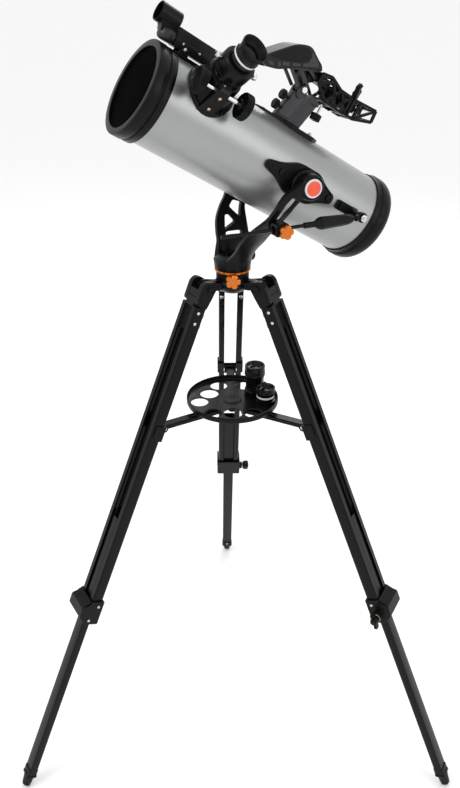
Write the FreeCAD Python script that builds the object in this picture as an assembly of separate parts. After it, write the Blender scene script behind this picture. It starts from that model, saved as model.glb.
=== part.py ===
"""Newtonian reflector telescope on an alt-azimuth yoke and folding tripod, one STEP file per piece.

Millimetres. +Z is up and z = 0 is the floor. The origin is on the floor, at the centre of the
rectangle that the three feet cover. +Y points to the rear leg.
"""
import FreeCAD
import Part
import math
import os

V = FreeCAD.Vector

# ---- tripod ------------------------------------------------------------------------------------
LEG_BEARINGS = {"rear": 90.0, "left": 210.0, "right": 330.0}
FOOT_RADIUS = 488.0            # foot tip to azimuth axis
HINGE_RADIUS = 56.0            # leg hinge to azimuth axis
HINGE_HEIGHT = 986.0
LEG_OFFSET = 7.0               # leg's centre line, outward of its hinge
HINGE_TO_TIP = math.hypot(FOOT_RADIUS - HINGE_RADIUS, HINGE_HEIGHT)
LEG_LENGTH = math.sqrt(HINGE_TO_TIP ** 2 - LEG_OFFSET ** 2)
LEG_SPLAY = (math.degrees(math.atan2(FOOT_RADIUS - HINGE_RADIUS, HINGE_HEIGHT))
             - math.degrees(math.atan2(LEG_OFFSET, LEG_LENGTH)))
RAIL_TOP = 34.0                # distances along a leg start at its hinge
RAIL_END = 640.0
RAIL_DEPTH = 22.0              # radial size of a rail
LEG_WIDTH = 46.0               # over both rails
RAIL_WIDTH = 11.0
RAIL_WALL = 1.6
SLIDER_TOP = 451.0
SLIDER_WIDTH = 21.0
SLIDER_DEPTH = 16.0
FOOT_LENGTH = 46.0
TANG_WIDTH = 24.0              # hub tang between the two ears of a leg
HINGE_BOLT_R = 4.0
RUNNING_FIT = 0.05             # radial clearance of a shaft that turns
GAP = 0.3                      # gap between faces that move past each other
CLAMP_TOP = 618.0
CLAMP_END = 667.0
CLAMP_SCREW_AT = 651.0
CLAMP_SCREW_R = 3.0

# ---- spreader and accessory tray ---------------------------------------------------------------
BRACKET_AT = 263.0             # along the leg
BRACKET_INSET = -21.5          # arm pivot, inward of the leg's centre line
ARM_INNER_RADIUS = 28.0
ARM_INNER_HEIGHT = 737.5
ARM_WIDTH = 16.0
ARM_DEPTH = 8.0
ARM_WALL = 1.6
TRAY_FLOOR = 748.0
TRAY_RADIUS = 84.5
TRAY_SHEET = 2.4
TRAY_RIM = 11.0
TRIO_RADIUS = 49.0             # large eyepiece hole to the tray's centre
TRIO_SPACING = 36.0            # large hole to each small hole
LARGE_HOLE_R = 17.2
SMALL_HOLE_R = 16.2
BARREL_R = 15.875              # standard 1.25 inch eyepiece barrel

# ---- azimuth head ------------------------------------------------------------------------------
HUB_R = 30.0
COLLAR_R = 28.0
COLLAR_TOP = 1005.7
RING_TOP = 1009.5
SPINDLE_R = 8.0
LOCK_HEIGHT = 997.0

# ---- yoke, in a frame turned to the tube's bearing: x to the tube's rear, y to the far side -----
TUBE_BEARING = 22.8            # direction of the tube's rear end, from +X
YOKE_BASE = 1009.8
YOKE_WALL = 7.0
BOWL = [(30.0, 1012.0), (37.0, 1040.0), (64.0, 1070.0), (95.0, 1100.0), (118.0, 1122.0),
        (130.0, 1142.0), (135.0, 1160.0), (135.0, 1188.0)]
PIVOT_BACK = 90.0              # altitude axis behind the azimuth axis
PIVOT_HEIGHT = 1158.4
BOSS_R = 23.0
BOSS_IN = 81.8                 # boss faces, from the tube's middle plane
BOSS_OUT = 104.0
PIVOT_R = 8.0

# ---- optical tube, in its own frame: x from the front rim to the rear, z up when level ----------
ELEVATION = 31.6               # the tube's front points up by this angle
PIVOT_AT = 297.0               # altitude axis, from the front rim
TUBE_R = 70.0
TUBE_WALL = 1.6
TUBE_START = 6.0
TUBE_END = 470.0
FRONT_RING_END = 32.0
FRONT_RING_R = 75.0
REAR_RING_START = 449.0
REAR_RING_END = 487.0
REAR_RING_R = 73.5
FOCUSER_AT = 92.0
FOCUSER_TILT = 45.0            # focuser axis, up from the near side
FLANGE_R = 40.0
MIRROR_R = 57.0                # 114 mm primary mirror
PLATE_FACE = 81.5
PLATE_SIDE = 76.0
VANE_TURN = 8.0                # first spider vane, from the tube's top

# ---- altitude rod ------------------------------------------------------------------------------
ROD_SIDE = 104.0               # the rod's plane, from the tube's middle plane
ROD_R = 3.0
ROD_HEIGHT = 1101.0
ROD_HINGE_BACK = 182.0
ROD_CLAMP_BACK = 34.0
ROD_FRONT = -67.0
CLAMP_EYE_R = 6.5              # wider than the rod, so that it can tilt in the clamp

FINDER_HINGE = (44.0, 82.0)    # along the tube and outward from its axis
DOCK_HINGE = (250.0, 127.0)


def cylinder(radius, start, end):
    """A cylinder between two points."""
    axis = V(*end) - V(*start)
    return Part.makeCylinder(radius, axis.Length, V(*start), axis)


def cone(r1, r2, start, end):
    """A cone between two points."""
    axis = V(*end) - V(*start)
    return Part.makeCone(r1, r2, axis.Length, V(*start), axis)


def tube(outer, inner, start, end):
    """A hollow cylinder between two points."""
    return cylinder(outer, start, end).cut(cylinder(inner, start, end))


def block(x0, x1, y0, y1, z0, z1):
    """A box between two corners."""
    return Part.makeBox(x1 - x0, y1 - y0, z1 - z0, V(x0, y0, z0))


def fused(first, *others):
    """One solid from pieces that overlap or touch."""
    return first.multiFuse(list(others)).removeSplitter()


def prism_xz(points, y0, y1):
    """A straight-sided outline in x and z, from y0 to y1."""
    wire = Part.makePolygon([V(x, y0, z) for x, z in points + points[:1]])
    return Part.Face(wire).extrude(V(0, y1 - y0, 0))


def prism_xy(points, z0, z1):
    """A straight-sided outline in x and y, from z0 to z1."""
    wire = Part.makePolygon([V(x, y, z0) for x, y in points + points[:1]])
    return Part.Face(wire).extrude(V(0, 0, z1 - z0))


def turned(points, axis=V(0, 0, 1)):
    """A profile of (radius, height) points, turned about Z and laid along an axis."""
    wire = Part.makePolygon([V(r, 0, h) for r, h in points + points[:1]])
    solid = Part.Face(wire).revolve(V(0, 0, 0), V(0, 0, 1), 360)
    solid.Placement = FreeCAD.Placement(V(0, 0, 0), FreeCAD.Rotation(V(0, 0, 1), axis))
    return solid


def moved(shape, offset):
    """A shape shifted by an offset."""
    copy = shape.copy()
    copy.translate(V(*offset))
    return copy


def rotated(shape, centre, axis, angle):
    """A shape turned about an axis through a point."""
    copy = shape.copy()
    copy.rotate(V(*centre), V(*axis), angle)
    return copy


def on_bearing(shape, bearing):
    """From a frame whose x points outward to the tripod frame."""
    return rotated(shape, (0, 0, 0), (0, 0, 1), bearing)


def on_leg(shape, bearing):
    """From a leg's frame (centre line along -z, hinge at x = -LEG_OFFSET) to the tripod frame."""
    leaning = rotated(moved(shape, (LEG_OFFSET, 0, 0)), (0, 0, 0), (0, 1, 0), -LEG_SPLAY)
    return on_bearing(moved(leaning, (HINGE_RADIUS, 0, HINGE_HEIGHT)), bearing)


def on_yoke(shape):
    """From the yoke's frame to the tripod frame."""
    return on_bearing(shape, TUBE_BEARING)


def on_tube(shape):
    """From the tube's frame to the tripod frame."""
    tilted = rotated(moved(shape, (-PIVOT_AT, 0, 0)), (0, 0, 0), (0, 1, 0), ELEVATION)
    return on_yoke(moved(tilted, (PIVOT_BACK, 0, PIVOT_HEIGHT)))


def around_tube(shape, along, tilt):
    """From a frame standing on the tube's axis (z outward, x to the rear) to the tube's frame.

    The tilt is measured up from the near side.
    """
    return moved(rotated(shape, (0, 0, 0), (1, 0, 0), 90 - tilt), (along, 0, 0))


# ---- legs --------------------------------------------------------------------------------------
def leg_rails():
    """Two channels, open towards each other, that guide the slider."""
    half = LEG_WIDTH / 2
    inner = half - RAIL_WIDTH
    depth = RAIL_DEPTH / 2
    rail = block(-depth, depth, inner, half, -RAIL_END, -RAIL_TOP)
    hollow = block(-depth + RAIL_WALL, depth - RAIL_WALL, inner, half - RAIL_WALL, -RAIL_END, -RAIL_TOP)
    rail = rail.cut(hollow)
    return Part.makeCompound([rail, rail.mirror(V(0, 0, 0), V(0, 1, 0))])


def leg_top_fitting():
    """Clevis at the head end, with a plug that fills the top of each rail."""
    half = LEG_WIDTH / 2
    tang = TANG_WIDTH / 2 + GAP
    x = -LEG_OFFSET
    outline = [(x - 11, 0), (x - 8, 9), (x, 13), (6, 14), (12, 4), (12, -RAIL_TOP), (-12, -RAIL_TOP),
               (x - 10, -10)]
    body = prism_xz(outline, -half, half)
    room = fused(cylinder(14, (x, -tang, 0), (x, tang, 0)), block(x - 20, 40, -tang, tang, 0, 20),
                 block(x - 20, x + 6, -tang, tang, -14, 20))
    plug = block(-9.2, 9.2, 12.4, half - RAIL_WALL - 0.2, -78, -RAIL_TOP)
    body = fused(body.cut(room), plug, plug.mirror(V(0, 0, 0), V(0, 1, 0)))
    return body.cut(cylinder(HINGE_BOLT_R + RUNNING_FIT, (x, -40, 0), (x, 40, 0)))


def leg_clamp():
    """U-shaped bracket round the rails' lower end, with an angular outer face."""
    half = LEG_WIDTH / 2 + 3
    depth = RAIL_DEPTH / 2
    outer = block(-depth - 3, depth + 3, -half, half, -CLAMP_END, -CLAMP_TOP)
    nose = [(depth + 2, -CLAMP_TOP + 8), (depth + 17, -CLAMP_TOP - 12), (depth + 17, -CLAMP_END + 16),
            (depth + 2, -CLAMP_END + 2)]
    outer = fused(outer, prism_xz(nose, -half, half), cylinder(8, (0, -half - 6, -CLAMP_SCREW_AT),
                                                              (0, -half + 1, -CLAMP_SCREW_AT)))
    rails = block(-depth - 0.1, depth + 0.1, -half + 2.9, half - 2.9, -RAIL_END, -CLAMP_TOP + 1)
    hollow_nose = prism_xz([(depth - 1, -CLAMP_TOP + 2), (depth + 13, -CLAMP_TOP - 13),
                            (depth + 13, -RAIL_END), (depth - 1, -RAIL_END)], -half + 4, half - 4)
    slider = block(-SLIDER_DEPTH / 2 - GAP, SLIDER_DEPTH / 2 + GAP, -SLIDER_WIDTH / 2 - GAP,
                   SLIDER_WIDTH / 2 + GAP, -CLAMP_END - 1, -RAIL_END + 1)
    screw = cylinder(CLAMP_SCREW_R + RUNNING_FIT, (0, -half - 8, -CLAMP_SCREW_AT), (0, 0, -CLAMP_SCREW_AT))
    return outer.cut(rails).cut(hollow_nose).cut(slider).cut(screw)


def leg_knob():
    """Wing screw that presses on the slider, with its brass washer."""
    face = -LEG_WIDTH / 2 - 9 - GAP
    tip = -SLIDER_WIDTH / 2 - 2 * GAP
    z = -CLAMP_SCREW_AT
    screw = cylinder(CLAMP_SCREW_R, (0, tip, z), (0, face - 4, z))
    hub = cylinder(8, (0, face - 2, z), (0, face - 15, z))
    wings = block(-4, 4, face - 15, face - 4, z - 16, z + 16)
    washer = tube(8.5, CLAMP_SCREW_R, (0, face, z), (0, face - 1.6, z))
    return Part.makeCompound([fused(screw, hub, wings), washer])


def leg_slider():
    """Square tube with a rubber foot plugged into its lower end."""
    w = SLIDER_WIDTH / 2
    d = SLIDER_DEPTH / 2
    end = LEG_LENGTH - FOOT_LENGTH
    body = block(-d, d, -w, w, -end, -SLIDER_TOP)
    body = body.cut(block(-d + 1.6, d - 1.6, -w + 1.6, w - 1.6, -end - 1, -SLIDER_TOP + 1))
    collar = block(-d - 1.5, d + 1.5, -w - 1.5, w + 1.5, -end - 18, -end)
    tip = cone(w + 1, 6.5, (0, 0, -end - 16), (0, 0, -LEG_LENGTH - 4))
    plug = block(-d + 1.8, d - 1.8, -w + 1.8, w - 1.8, -end - 1, -end + 20)
    return body, fused(collar, tip, plug)


def spreader_bracket():
    """Saddle on the inner faces of the rails, with two ears and the pin that carries an arm."""
    half = LEG_WIDTH / 2
    depth = RAIL_DEPTH / 2
    ear = ARM_WIDTH / 2 + GAP
    z = -BRACKET_AT
    saddle = block(-depth - 3, -depth - 0.1, -half - 2.6, half + 2.6, z - 20, z + 9)
    cheek = block(-depth - 3, 6, half + 0.1, half + 2.6, z - 20, z + 9)
    ears = fused(block(BRACKET_INSET, -depth - 2, -ear - 3, ear + 3, z - 8, z + 8),
                 cylinder(8, (BRACKET_INSET, -ear - 3, z), (BRACKET_INSET, ear + 3, z)))
    room = block(-60, -depth - 3, -ear, ear, z - 12, z + 12)
    body = fused(saddle, cheek, cheek.mirror(V(0, 0, 0), V(0, 1, 0)), ears.cut(room))
    pin = cylinder(2.5, (BRACKET_INSET, -ear - 5, z), (BRACKET_INSET, ear + 5, z))
    return Part.makeCompound([body.cut(pin), pin])


def bracket_pivot():
    """An arm's outer pivot as (radius, height)."""
    splay = math.radians(LEG_SPLAY)
    outward = LEG_OFFSET + BRACKET_INSET
    radius = HINGE_RADIUS + BRACKET_AT * math.sin(splay) + outward * math.cos(splay)
    height = HINGE_HEIGHT - BRACKET_AT * math.cos(splay) + outward * math.sin(splay)
    return radius, height


def spreader_arm():
    """Pressed channel from a leg's bracket to the hub below the tray, with a slot near the tray."""
    outer_r, outer_z = bracket_pivot()
    length = math.hypot(outer_r - ARM_INNER_RADIUS, ARM_INNER_HEIGHT - outer_z)
    slope = math.degrees(math.atan2(ARM_INNER_HEIGHT - outer_z, outer_r - ARM_INNER_RADIUS))
    half = ARM_WIDTH / 2
    deep = ARM_DEPTH / 2
    bar = block(-5, length + 4, -half, half, -deep, deep)
    bar = fused(bar, cylinder(5, (0, -half, 0), (0, half, 0)))
    hollow = block(-12, length + 12, -half + ARM_WALL, half - ARM_WALL, -deep - 3, deep - ARM_WALL)
    slot = block(length * 0.52, length * 0.72, -3, 3, -deep - 1, deep + 1)
    bar = bar.cut(hollow).cut(slot)
    bar = bar.cut(cylinder(2.5 + RUNNING_FIT, (0, -half - 1, 0), (0, half + 1, 0)))
    inward = rotated(bar, (0, 0, 0), (0, 0, 1), 180)
    sloped = rotated(inward, (0, 0, 0), (0, 1, 0), slope)
    return moved(sloped, (outer_r, 0, outer_z))


def spreader_hub():
    """Small plate under the tray with a pair of ears for each arm's inner end."""
    top = TRAY_FLOOR - 0.1
    ear = ARM_WIDTH / 2 + 1.0
    body = fused(cylinder(24, (0, 0, top - 2.4), (0, 0, top)), cylinder(8, (0, 0, 730), (0, 0, top)))
    for bearing in LEG_BEARINGS.values():
        plate = block(0, 36, -ear - 2, ear + 2, top - 2.4, top)
        lug = block(21, 36, ear, ear + 2, ARM_INNER_HEIGHT - 6, top)
        body = fused(body, on_bearing(fused(plate, lug, lug.mirror(V(0, 0, 0), V(0, 1, 0))), bearing))
    return body


def accessory_tray():
    """Round tray with three trios of eyepiece holes, one trio midway between each pair of legs."""
    top = TRAY_FLOOR + TRAY_SHEET
    tray = cylinder(TRAY_RADIUS, (0, 0, TRAY_FLOOR), (0, 0, TRAY_FLOOR + TRAY_RIM))
    tray = tray.cut(cylinder(TRAY_RADIUS - 2.4, (0, 0, top), (0, 0, top + TRAY_RIM)))
    tray = fused(tray, cylinder(17, (0, 0, top - 1), (0, 0, top + 1.6)))
    for bearing in LEG_BEARINGS.values():
        for side, radius in ((-1, SMALL_HOLE_R), (0, LARGE_HOLE_R), (1, SMALL_HOLE_R)):
            hole = cylinder(radius, (TRIO_RADIUS, side * TRIO_SPACING, 700),
                            (TRIO_RADIUS, side * TRIO_SPACING, 800))
            tray = tray.cut(on_bearing(hole, bearing + 60))
    return tray


def spare_eyepiece(shoulder, height, side):
    """Eyepiece standing in a hole of the tray's right-hand trio."""
    top = TRAY_FLOOR + TRAY_SHEET
    z = top + 0.1
    body = turned([(0, z - 22), (BARREL_R, z - 22), (BARREL_R, z), (shoulder, z),
                   (shoulder, z + height * 0.55),
                   (shoulder - 1.2, z + height * 0.6), (shoulder - 1.2, z + height - 2),
                   (shoulder - 3, z + height), (shoulder - 8, z + height), (shoulder - 10, z + height - 4),
                   (0, z + height - 4)])
    return on_bearing(moved(body, (TRIO_RADIUS, side * TRIO_SPACING, 0)), 30)


# ---- azimuth head ------------------------------------------------------------------------------
def hub_casting():
    """Casting with a tang for each leg and the collar that the yoke turns on."""
    tang = TANG_WIDTH / 2
    r, z = HINGE_RADIUS, HINGE_HEIGHT
    body = turned([(0, 968), (18, 968), (HUB_R - 5, 974), (HUB_R, 980), (HUB_R, 987), (COLLAR_R, 990),
                   (COLLAR_R, COLLAR_TOP), (0, COLLAR_TOP)])
    for bearing in LEG_BEARINGS.values():
        arm = fused(block(0, r, -tang, tang, z - 9, z + 6), cylinder(9.5, (r, -tang, z), (r, tang, z)))
        arm = arm.cut(cylinder(HINGE_BOLT_R, (r, -40, z), (r, 40, z)))
        body = fused(body, on_bearing(arm, bearing))
    body = body.cut(cylinder(SPINDLE_R, (0, 0, 970), (0, 0, 1020)))
    return body.cut(cylinder(3.5 + RUNNING_FIT, (0, -60, LOCK_HEIGHT), (0, 0, LOCK_HEIGHT)))


def leg_hinge_bolts():
    """One cross bolt with two heads at the top of each leg."""
    bolts = []
    half = LEG_WIDTH / 2 + GAP
    for bearing in LEG_BEARINGS.values():
        x, z = HINGE_RADIUS, HINGE_HEIGHT
        bolt = fused(cylinder(HINGE_BOLT_R, (x, -half - 1, z), (x, half + 1, z)),
                     cylinder(7, (x, -half - 4, z), (x, -half, z)),
                     cylinder(7, (x, half, z), (x, half + 4, z)))
        bolts.append(on_bearing(bolt, bearing))
    return Part.makeCompound(bolts)


def lobed_knob(lobes, radius, thickness):
    """Star knob along +z with its inner face at z = 0."""
    knob = cylinder(radius * 0.72, (0, 0, 0), (0, 0, thickness))
    for i in range(lobes):
        angle = 2 * math.pi * i / lobes
        x, y = radius * 0.66 * math.cos(angle), radius * 0.66 * math.sin(angle)
        knob = fused(knob, cylinder(radius * 0.34, (x, y, 0), (x, y, thickness)))
    return knob


def azimuth_lock_knob():
    """Orange knob in front of the collar, with a screw that reaches the spindle."""
    knob = fused(lobed_knob(5, 13, 9), cylinder(6, (0, 0, -3), (0, 0, 1)),
                 cylinder(3.5, (0, 0, -COLLAR_R + SPINDLE_R + 2 * GAP - 4), (0, 0, 1)))
    return moved(rotated(knob, (0, 0, 0), (1, 0, 0), 90), (0, -COLLAR_R - 4, LOCK_HEIGHT))


# ---- yoke --------------------------------------------------------------------------------------
def yoke():
    """Bowl-shaped fork: two swept-back arms that rise from a round base to the altitude bosses."""
    inner = [(r - YOKE_WALL, z + 1.5) for r, z in BOWL]
    bowl = turned(BOWL + inner[::-1])
    edge = [(-40, 1005), (-31, 1020), (-18, 1040), (-8, 1070), (17, 1100), (46, 1126), (66, 1150),
            (74, 1172), (106, 1172), (112, 1152), (96, 1130), (64, 1106), (52, 1090), (47, 1072),
            (44, 1052), (31, 1036), (28, 1005)]
    arms = bowl.common(prism_xz(edge, -160, 160))
    windows = ([(20, 1080), (40, 1079), (46, 1096), (32, 1098)],
               [(6, 1060), (34, 1058), (38, 1073), (14, 1074)],
               [(0, 1042), (32, 1042), (34, 1051), (2, 1052)])
    for window in windows:
        arms = arms.cut(prism_xz(window, -160, -20)).cut(prism_xz(window, 20, 160))
    room = cylinder(90, (PIVOT_BACK, -BOSS_IN, PIVOT_HEIGHT), (PIVOT_BACK, BOSS_IN, PIVOT_HEIGHT))
    arms = arms.cut(room.common(block(0, 200, -200, 200, 1128, 1250)))
    arms = arms.cut(cylinder(60, (PIVOT_BACK, -PLATE_SIDE - GAP, PIVOT_HEIGHT),
                             (PIVOT_BACK, PLATE_SIDE + GAP, PIVOT_HEIGHT)))
    for side in (-1, 1):
        arms = arms.cut(cylinder(BOSS_R, (PIVOT_BACK, side * BOSS_OUT, PIVOT_HEIGHT),
                                 (PIVOT_BACK, side * 150, PIVOT_HEIGHT)))
    arms = arms.cut(cylinder(17, (ROD_CLAMP_BACK, -95, ROD_HEIGHT), (ROD_CLAMP_BACK, -140, ROD_HEIGHT)))
    floor = turned([(0, YOKE_BASE), (30, YOKE_BASE), (30, 1014), (32, 1024), (26, 1030), (0, 1030)])
    bosses = [cylinder(BOSS_R, (PIVOT_BACK, side * BOSS_IN, PIVOT_HEIGHT),
                       (PIVOT_BACK, side * BOSS_OUT, PIVOT_HEIGHT)) for side in (-1, 1)]
    post = cylinder(7, (ROD_CLAMP_BACK, -80, ROD_HEIGHT), (ROD_CLAMP_BACK, -95, ROD_HEIGHT))
    cap = cylinder(10, (20, 6, 1024), (39, 12, 1024))
    body = fused(arms, floor, cap, post, *bosses)
    body = body.cut(cylinder(SPINDLE_R + RUNNING_FIT, (0, 0, 1000), (0, 0, 1026)))
    body = body.cut(cylinder(PIVOT_R, (PIVOT_BACK, -120, PIVOT_HEIGHT), (PIVOT_BACK, 120, PIVOT_HEIGHT)))
    return on_yoke(body)


def altitude_pivots():
    """Two capped pivots, pressed into the yoke, on which the tube's plates turn."""
    pivots = []
    for side in (-1, 1):
        pin = cylinder(PIVOT_R, (PIVOT_BACK, side * 72, PIVOT_HEIGHT),
                       (PIVOT_BACK, side * BOSS_OUT, PIVOT_HEIGHT))
        cap = cylinder(15, (PIVOT_BACK, side * BOSS_OUT, PIVOT_HEIGHT),
                       (PIVOT_BACK, side * (BOSS_OUT + 3.5), PIVOT_HEIGHT))
        pivots.append(on_yoke(fused(pin, cap)))
    return Part.makeCompound(pivots)


def rod_clamp():
    """Swivelling block on the near arm that the altitude rod slides through."""
    x, z = ROD_CLAMP_BACK, ROD_HEIGHT
    body = block(x - 11, x + 11, -ROD_SIDE - 9, -ROD_SIDE + 8.6, z - 10, z + 10)
    body = body.cut(cylinder(CLAMP_EYE_R, (x - 20, -ROD_SIDE, z), (x + 20, -ROD_SIDE, z)))
    screw = cylinder(2.5 + RUNNING_FIT, (x + 4, -ROD_SIDE - 20, z - 2), (x + 4, -ROD_SIDE - 4, z - 2))
    return on_yoke(body.cut(screw))


def rod_clamp_knob():
    """Orange knob that locks the rod."""
    x, z = ROD_CLAMP_BACK + 4, ROD_HEIGHT - 2
    knob = fused(lobed_knob(5, 12, 9), cylinder(2.5, (0, 0, -2.8), (0, 0, 1)))
    return on_yoke(moved(rotated(knob, (0, 0, 0), (1, 0, 0), 90), (x, -ROD_SIDE - 9.5, z)))


def altitude_rod():
    """Thin rod from the tube's bracket through the clamp."""
    z = ROD_HEIGHT
    rod = cylinder(ROD_R, (ROD_FRONT, -ROD_SIDE, z), (ROD_HINGE_BACK - 6, -ROD_SIDE, z))
    eye = tube(8, 3 + RUNNING_FIT, (ROD_HINGE_BACK, -ROD_SIDE - 4, z), (ROD_HINGE_BACK, -ROD_SIDE + 4, z))
    rod = rod.cut(cylinder(7, (ROD_HINGE_BACK, -ROD_SIDE - 9, z), (ROD_HINGE_BACK, -ROD_SIDE + 9, z)))
    return on_yoke(fused(rod, eye))


def altitude_grip():
    """Dimpled grip that turns on the rod for fine movement in altitude."""
    z = ROD_HEIGHT
    grip = tube(8.5, ROD_R + RUNNING_FIT, (98, -ROD_SIDE, z), (165, -ROD_SIDE, z))
    sleeve = tube(5, ROD_R + RUNNING_FIT, (76, -ROD_SIDE, z), (99, -ROD_SIDE, z))
    return on_yoke(fused(grip, sleeve))


# ---- optical tube ------------------------------------------------------------------------------
def tube_shell():
    """Rolled steel tube with a round hole for the focuser."""
    shell = tube(TUBE_R, TUBE_R - TUBE_WALL, (TUBE_START, 0, 0), (TUBE_END, 0, 0))
    hole = around_tube(cylinder(24, (0, 0, 20), (0, 0, 100)), FOCUSER_AT, FOCUSER_TILT)
    return on_tube(shell.cut(hole))


def front_ring():
    """Moulded ring over the tube's front edge, in two bands with a groove between."""
    r = TUBE_R + 0.1
    profile = [(r, TUBE_START), (r - 6, TUBE_START), (r - 6, 0), (FRONT_RING_R - 1, 0), (FRONT_RING_R, 2),
               (FRONT_RING_R, 17), (r + 3, 18), (r + 3, 20), (r + 4.4, 21), (r + 4.4, FRONT_RING_END),
               (r, FRONT_RING_END)]
    return on_tube(turned(profile, V(1, 0, 0)))


def rear_ring():
    """Moulded end ring with a rounded shoulder, closed by a flat back with three screw holes."""
    r = TUBE_R + 0.1
    profile = [(r, REAR_RING_START), (r + 2.4, REAR_RING_START), (r + 2.4, 459), (REAR_RING_R + 2, 461),
               (REAR_RING_R + 2, 474), (REAR_RING_R - 1, 482), (REAR_RING_R - 6, REAR_RING_END),
               (0, REAR_RING_END), (0, REAR_RING_END - 3), (r - 4, REAR_RING_END - 3), (r - 4, TUBE_END),
               (r, TUBE_END)]
    ring = turned(profile, V(1, 0, 0))
    for i in range(3):
        hole = cylinder(3.2, (480, 0, 40), (490, 0, 40))
        ring = ring.cut(rotated(hole, (0, 0, 0), (1, 0, 0), 120 * i))
    return on_tube(ring)


def altitude_plates():
    """Long plate bolted to each side of the tube, thickened round the altitude axis."""
    x = PIVOT_AT
    outline = [(x - 78, -7), (x - 78, 7), (x - 50, 13), (x - 22, 27), (x + 18, 27), (x + 40, 14),
               (x + 62, 7), (x + 62, -7), (x + 40, -14), (x + 18, -26), (x - 22, -26), (x - 50, -13)]
    plates = []
    for side in (-1, 1):
        low, high = sorted((side * 56, side * PLATE_SIDE))
        plate = prism_xz(outline, low, high)
        plate = fused(plate, cylinder(24, (x, side * 60, 0), (x, side * PLATE_FACE, 0)))
        plate = plate.cut(cylinder(TUBE_R + 0.1, (0, 0, 0), (500, 0, 0)))
        pivot_hole = cylinder(PIVOT_R + RUNNING_FIT, (x, side * 40, 0), (x, side * 90, 0))
        plates.append(on_tube(plate.cut(pivot_hole)))
    return Part.makeCompound(plates)


def rod_hinge_in_tube():
    """The rod's hinge as (x, z) in the tube's frame."""
    tilt = math.radians(ELEVATION)
    dx, dz = ROD_HINGE_BACK - PIVOT_BACK, ROD_HEIGHT - PIVOT_HEIGHT
    return PIVOT_AT + dx * math.cos(tilt) - dz * math.sin(tilt), dx * math.sin(tilt) + dz * math.cos(tilt)


def rod_bracket():
    """Foot and post on the tube's near side with the pin that holds the rod's rear end."""
    x, z = rod_hinge_in_tube()
    tube_room = cylinder(TUBE_R + 0.1, (0, 0, 0), (500, 0, 0))
    foot = block(x - 34, x + 10, -78, -56, z - 12, z + 12).cut(tube_room)
    post = cylinder(9, (x, -72, z), (x, -ROD_SIDE + 4 + GAP, z)).cut(tube_room)
    pin = cylinder(3, (x, -90, z), (x, -ROD_SIDE - 5, z))
    nut = cylinder(6, (x, -ROD_SIDE - 4 - GAP, z), (x, -ROD_SIDE - 9, z))
    return on_tube(fused(foot, post, pin, nut))


def spider():
    """Four thin vanes, a hub and the holder behind the secondary mirror."""
    hub = cylinder(9, (62, 0, 0), (78, 0, 0))
    body = fused(hub, cylinder(13, (76, 0, 0), (84, 0, 0)))
    for i in range(4):
        vane = block(64, 76, -0.5, 0.5, 5, TUBE_R - TUBE_WALL - 0.2)
        body = fused(body, rotated(vane, (0, 0, 0), (1, 0, 0), VANE_TURN + 90 * i))
    return on_tube(body)


def secondary_mirror():
    """Elliptical flat cut at 45 degrees that sends the light up the focuser."""
    rod = cylinder(13, (84.2, 0, 0), (112, 0, 0))
    keep = block(0, 60, -40, 40, -60, 60)
    keep = rotated(keep, (0, 0, 0), (0, 1, 0), 45)
    aimed = rod.common(moved(keep.mirror(V(0, 0, 0), V(1, 0, 0)), (98, 0, 0)))
    return on_tube(rotated(aimed, (0, 0, 0), (1, 0, 0), 90 - FOCUSER_TILT))


def primary_mirror():
    """Round mirror with a shallow hollow face."""
    blank = cylinder(MIRROR_R, (436, 0, 0), (450, 0, 0))
    focal = 1000.0
    return on_tube(blank.cut(Part.makeSphere(focal, V(437.6 - focal, 0, 0))))


def mirror_cell():
    """Cast cell that carries the primary mirror, with three clips."""
    cell = cylinder(62, (450.1, 0, 0), (460, 0, 0)).cut(cylinder(30, (449, 0, 0), (461, 0, 0)))
    for i in range(3):
        clip = fused(block(433, 452, -7, 7, MIRROR_R + 0.3, MIRROR_R + 3),
                     block(433, 435.6, -7, 7, MIRROR_R - 5, MIRROR_R + 3))
        cell = fused(cell, rotated(clip, (0, 0, 0), (1, 0, 0), 60 + 120 * i))
    return on_tube(cell)


def collimation_screws():
    """Three thumbscrews through the back that aim the primary mirror."""
    screws = []
    for i in range(3):
        screw = fused(cylinder(3, (462, 0, 40), (492, 0, 40)), cylinder(7.5, (490, 0, 40), (498, 0, 40)))
        screws.append(on_tube(rotated(screw, (0, 0, 0), (1, 0, 0), 120 * i)))
    return Part.makeCompound(screws)


# ---- focuser, in a frame standing on the tube's axis ---------------------------------------------
DRAWTUBE_R = 22.0
PINION_R = 7.0
PINION_Y = -DRAWTUBE_R - GAP - PINION_R    # pinion axis, on the drawtube's lower side
PINION_Z = 100.0
HOUSING_TOP = 108.0
COLLAR_BASE = 112.5
COLLAR_END = 141.0
SCREW_Z = 130.0


def on_focuser(shape):
    """From the focuser's frame (z outward along its axis, x to the tube's rear) to the tripod frame."""
    return on_tube(around_tube(shape, FOCUSER_AT, FOCUSER_TILT))


def focuser_body():
    """Round flange that hugs the tube, conical housing and the block that holds the pinion."""
    flange = cylinder(FLANGE_R, (0, 0, 40), (0, 0, 80))
    flange = flange.common(cylinder(TUBE_R + 5, (-60, 0, 0), (60, 0, 0)))
    housing = cone(33, 27, (0, 0, 55), (0, 0, HOUSING_TOP))
    pinion_block = block(-12, 12, -39, -14, 50, HOUSING_TOP + 3)
    body = fused(flange, housing, pinion_block).cut(cylinder(TUBE_R + 0.1, (-99, 0, 0), (99, 0, 0)))
    body = body.cut(cylinder(DRAWTUBE_R + GAP, (0, 0, 0), (0, 0, 130)))
    body = body.cut(cylinder(PINION_R + GAP, (-9, PINION_Y, PINION_Z), (9, PINION_Y, PINION_Z)))
    shaft_hole = cylinder(3 + RUNNING_FIT, (-40, PINION_Y, PINION_Z), (40, PINION_Y, PINION_Z))
    return on_focuser(body.cut(shaft_hole))


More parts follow.
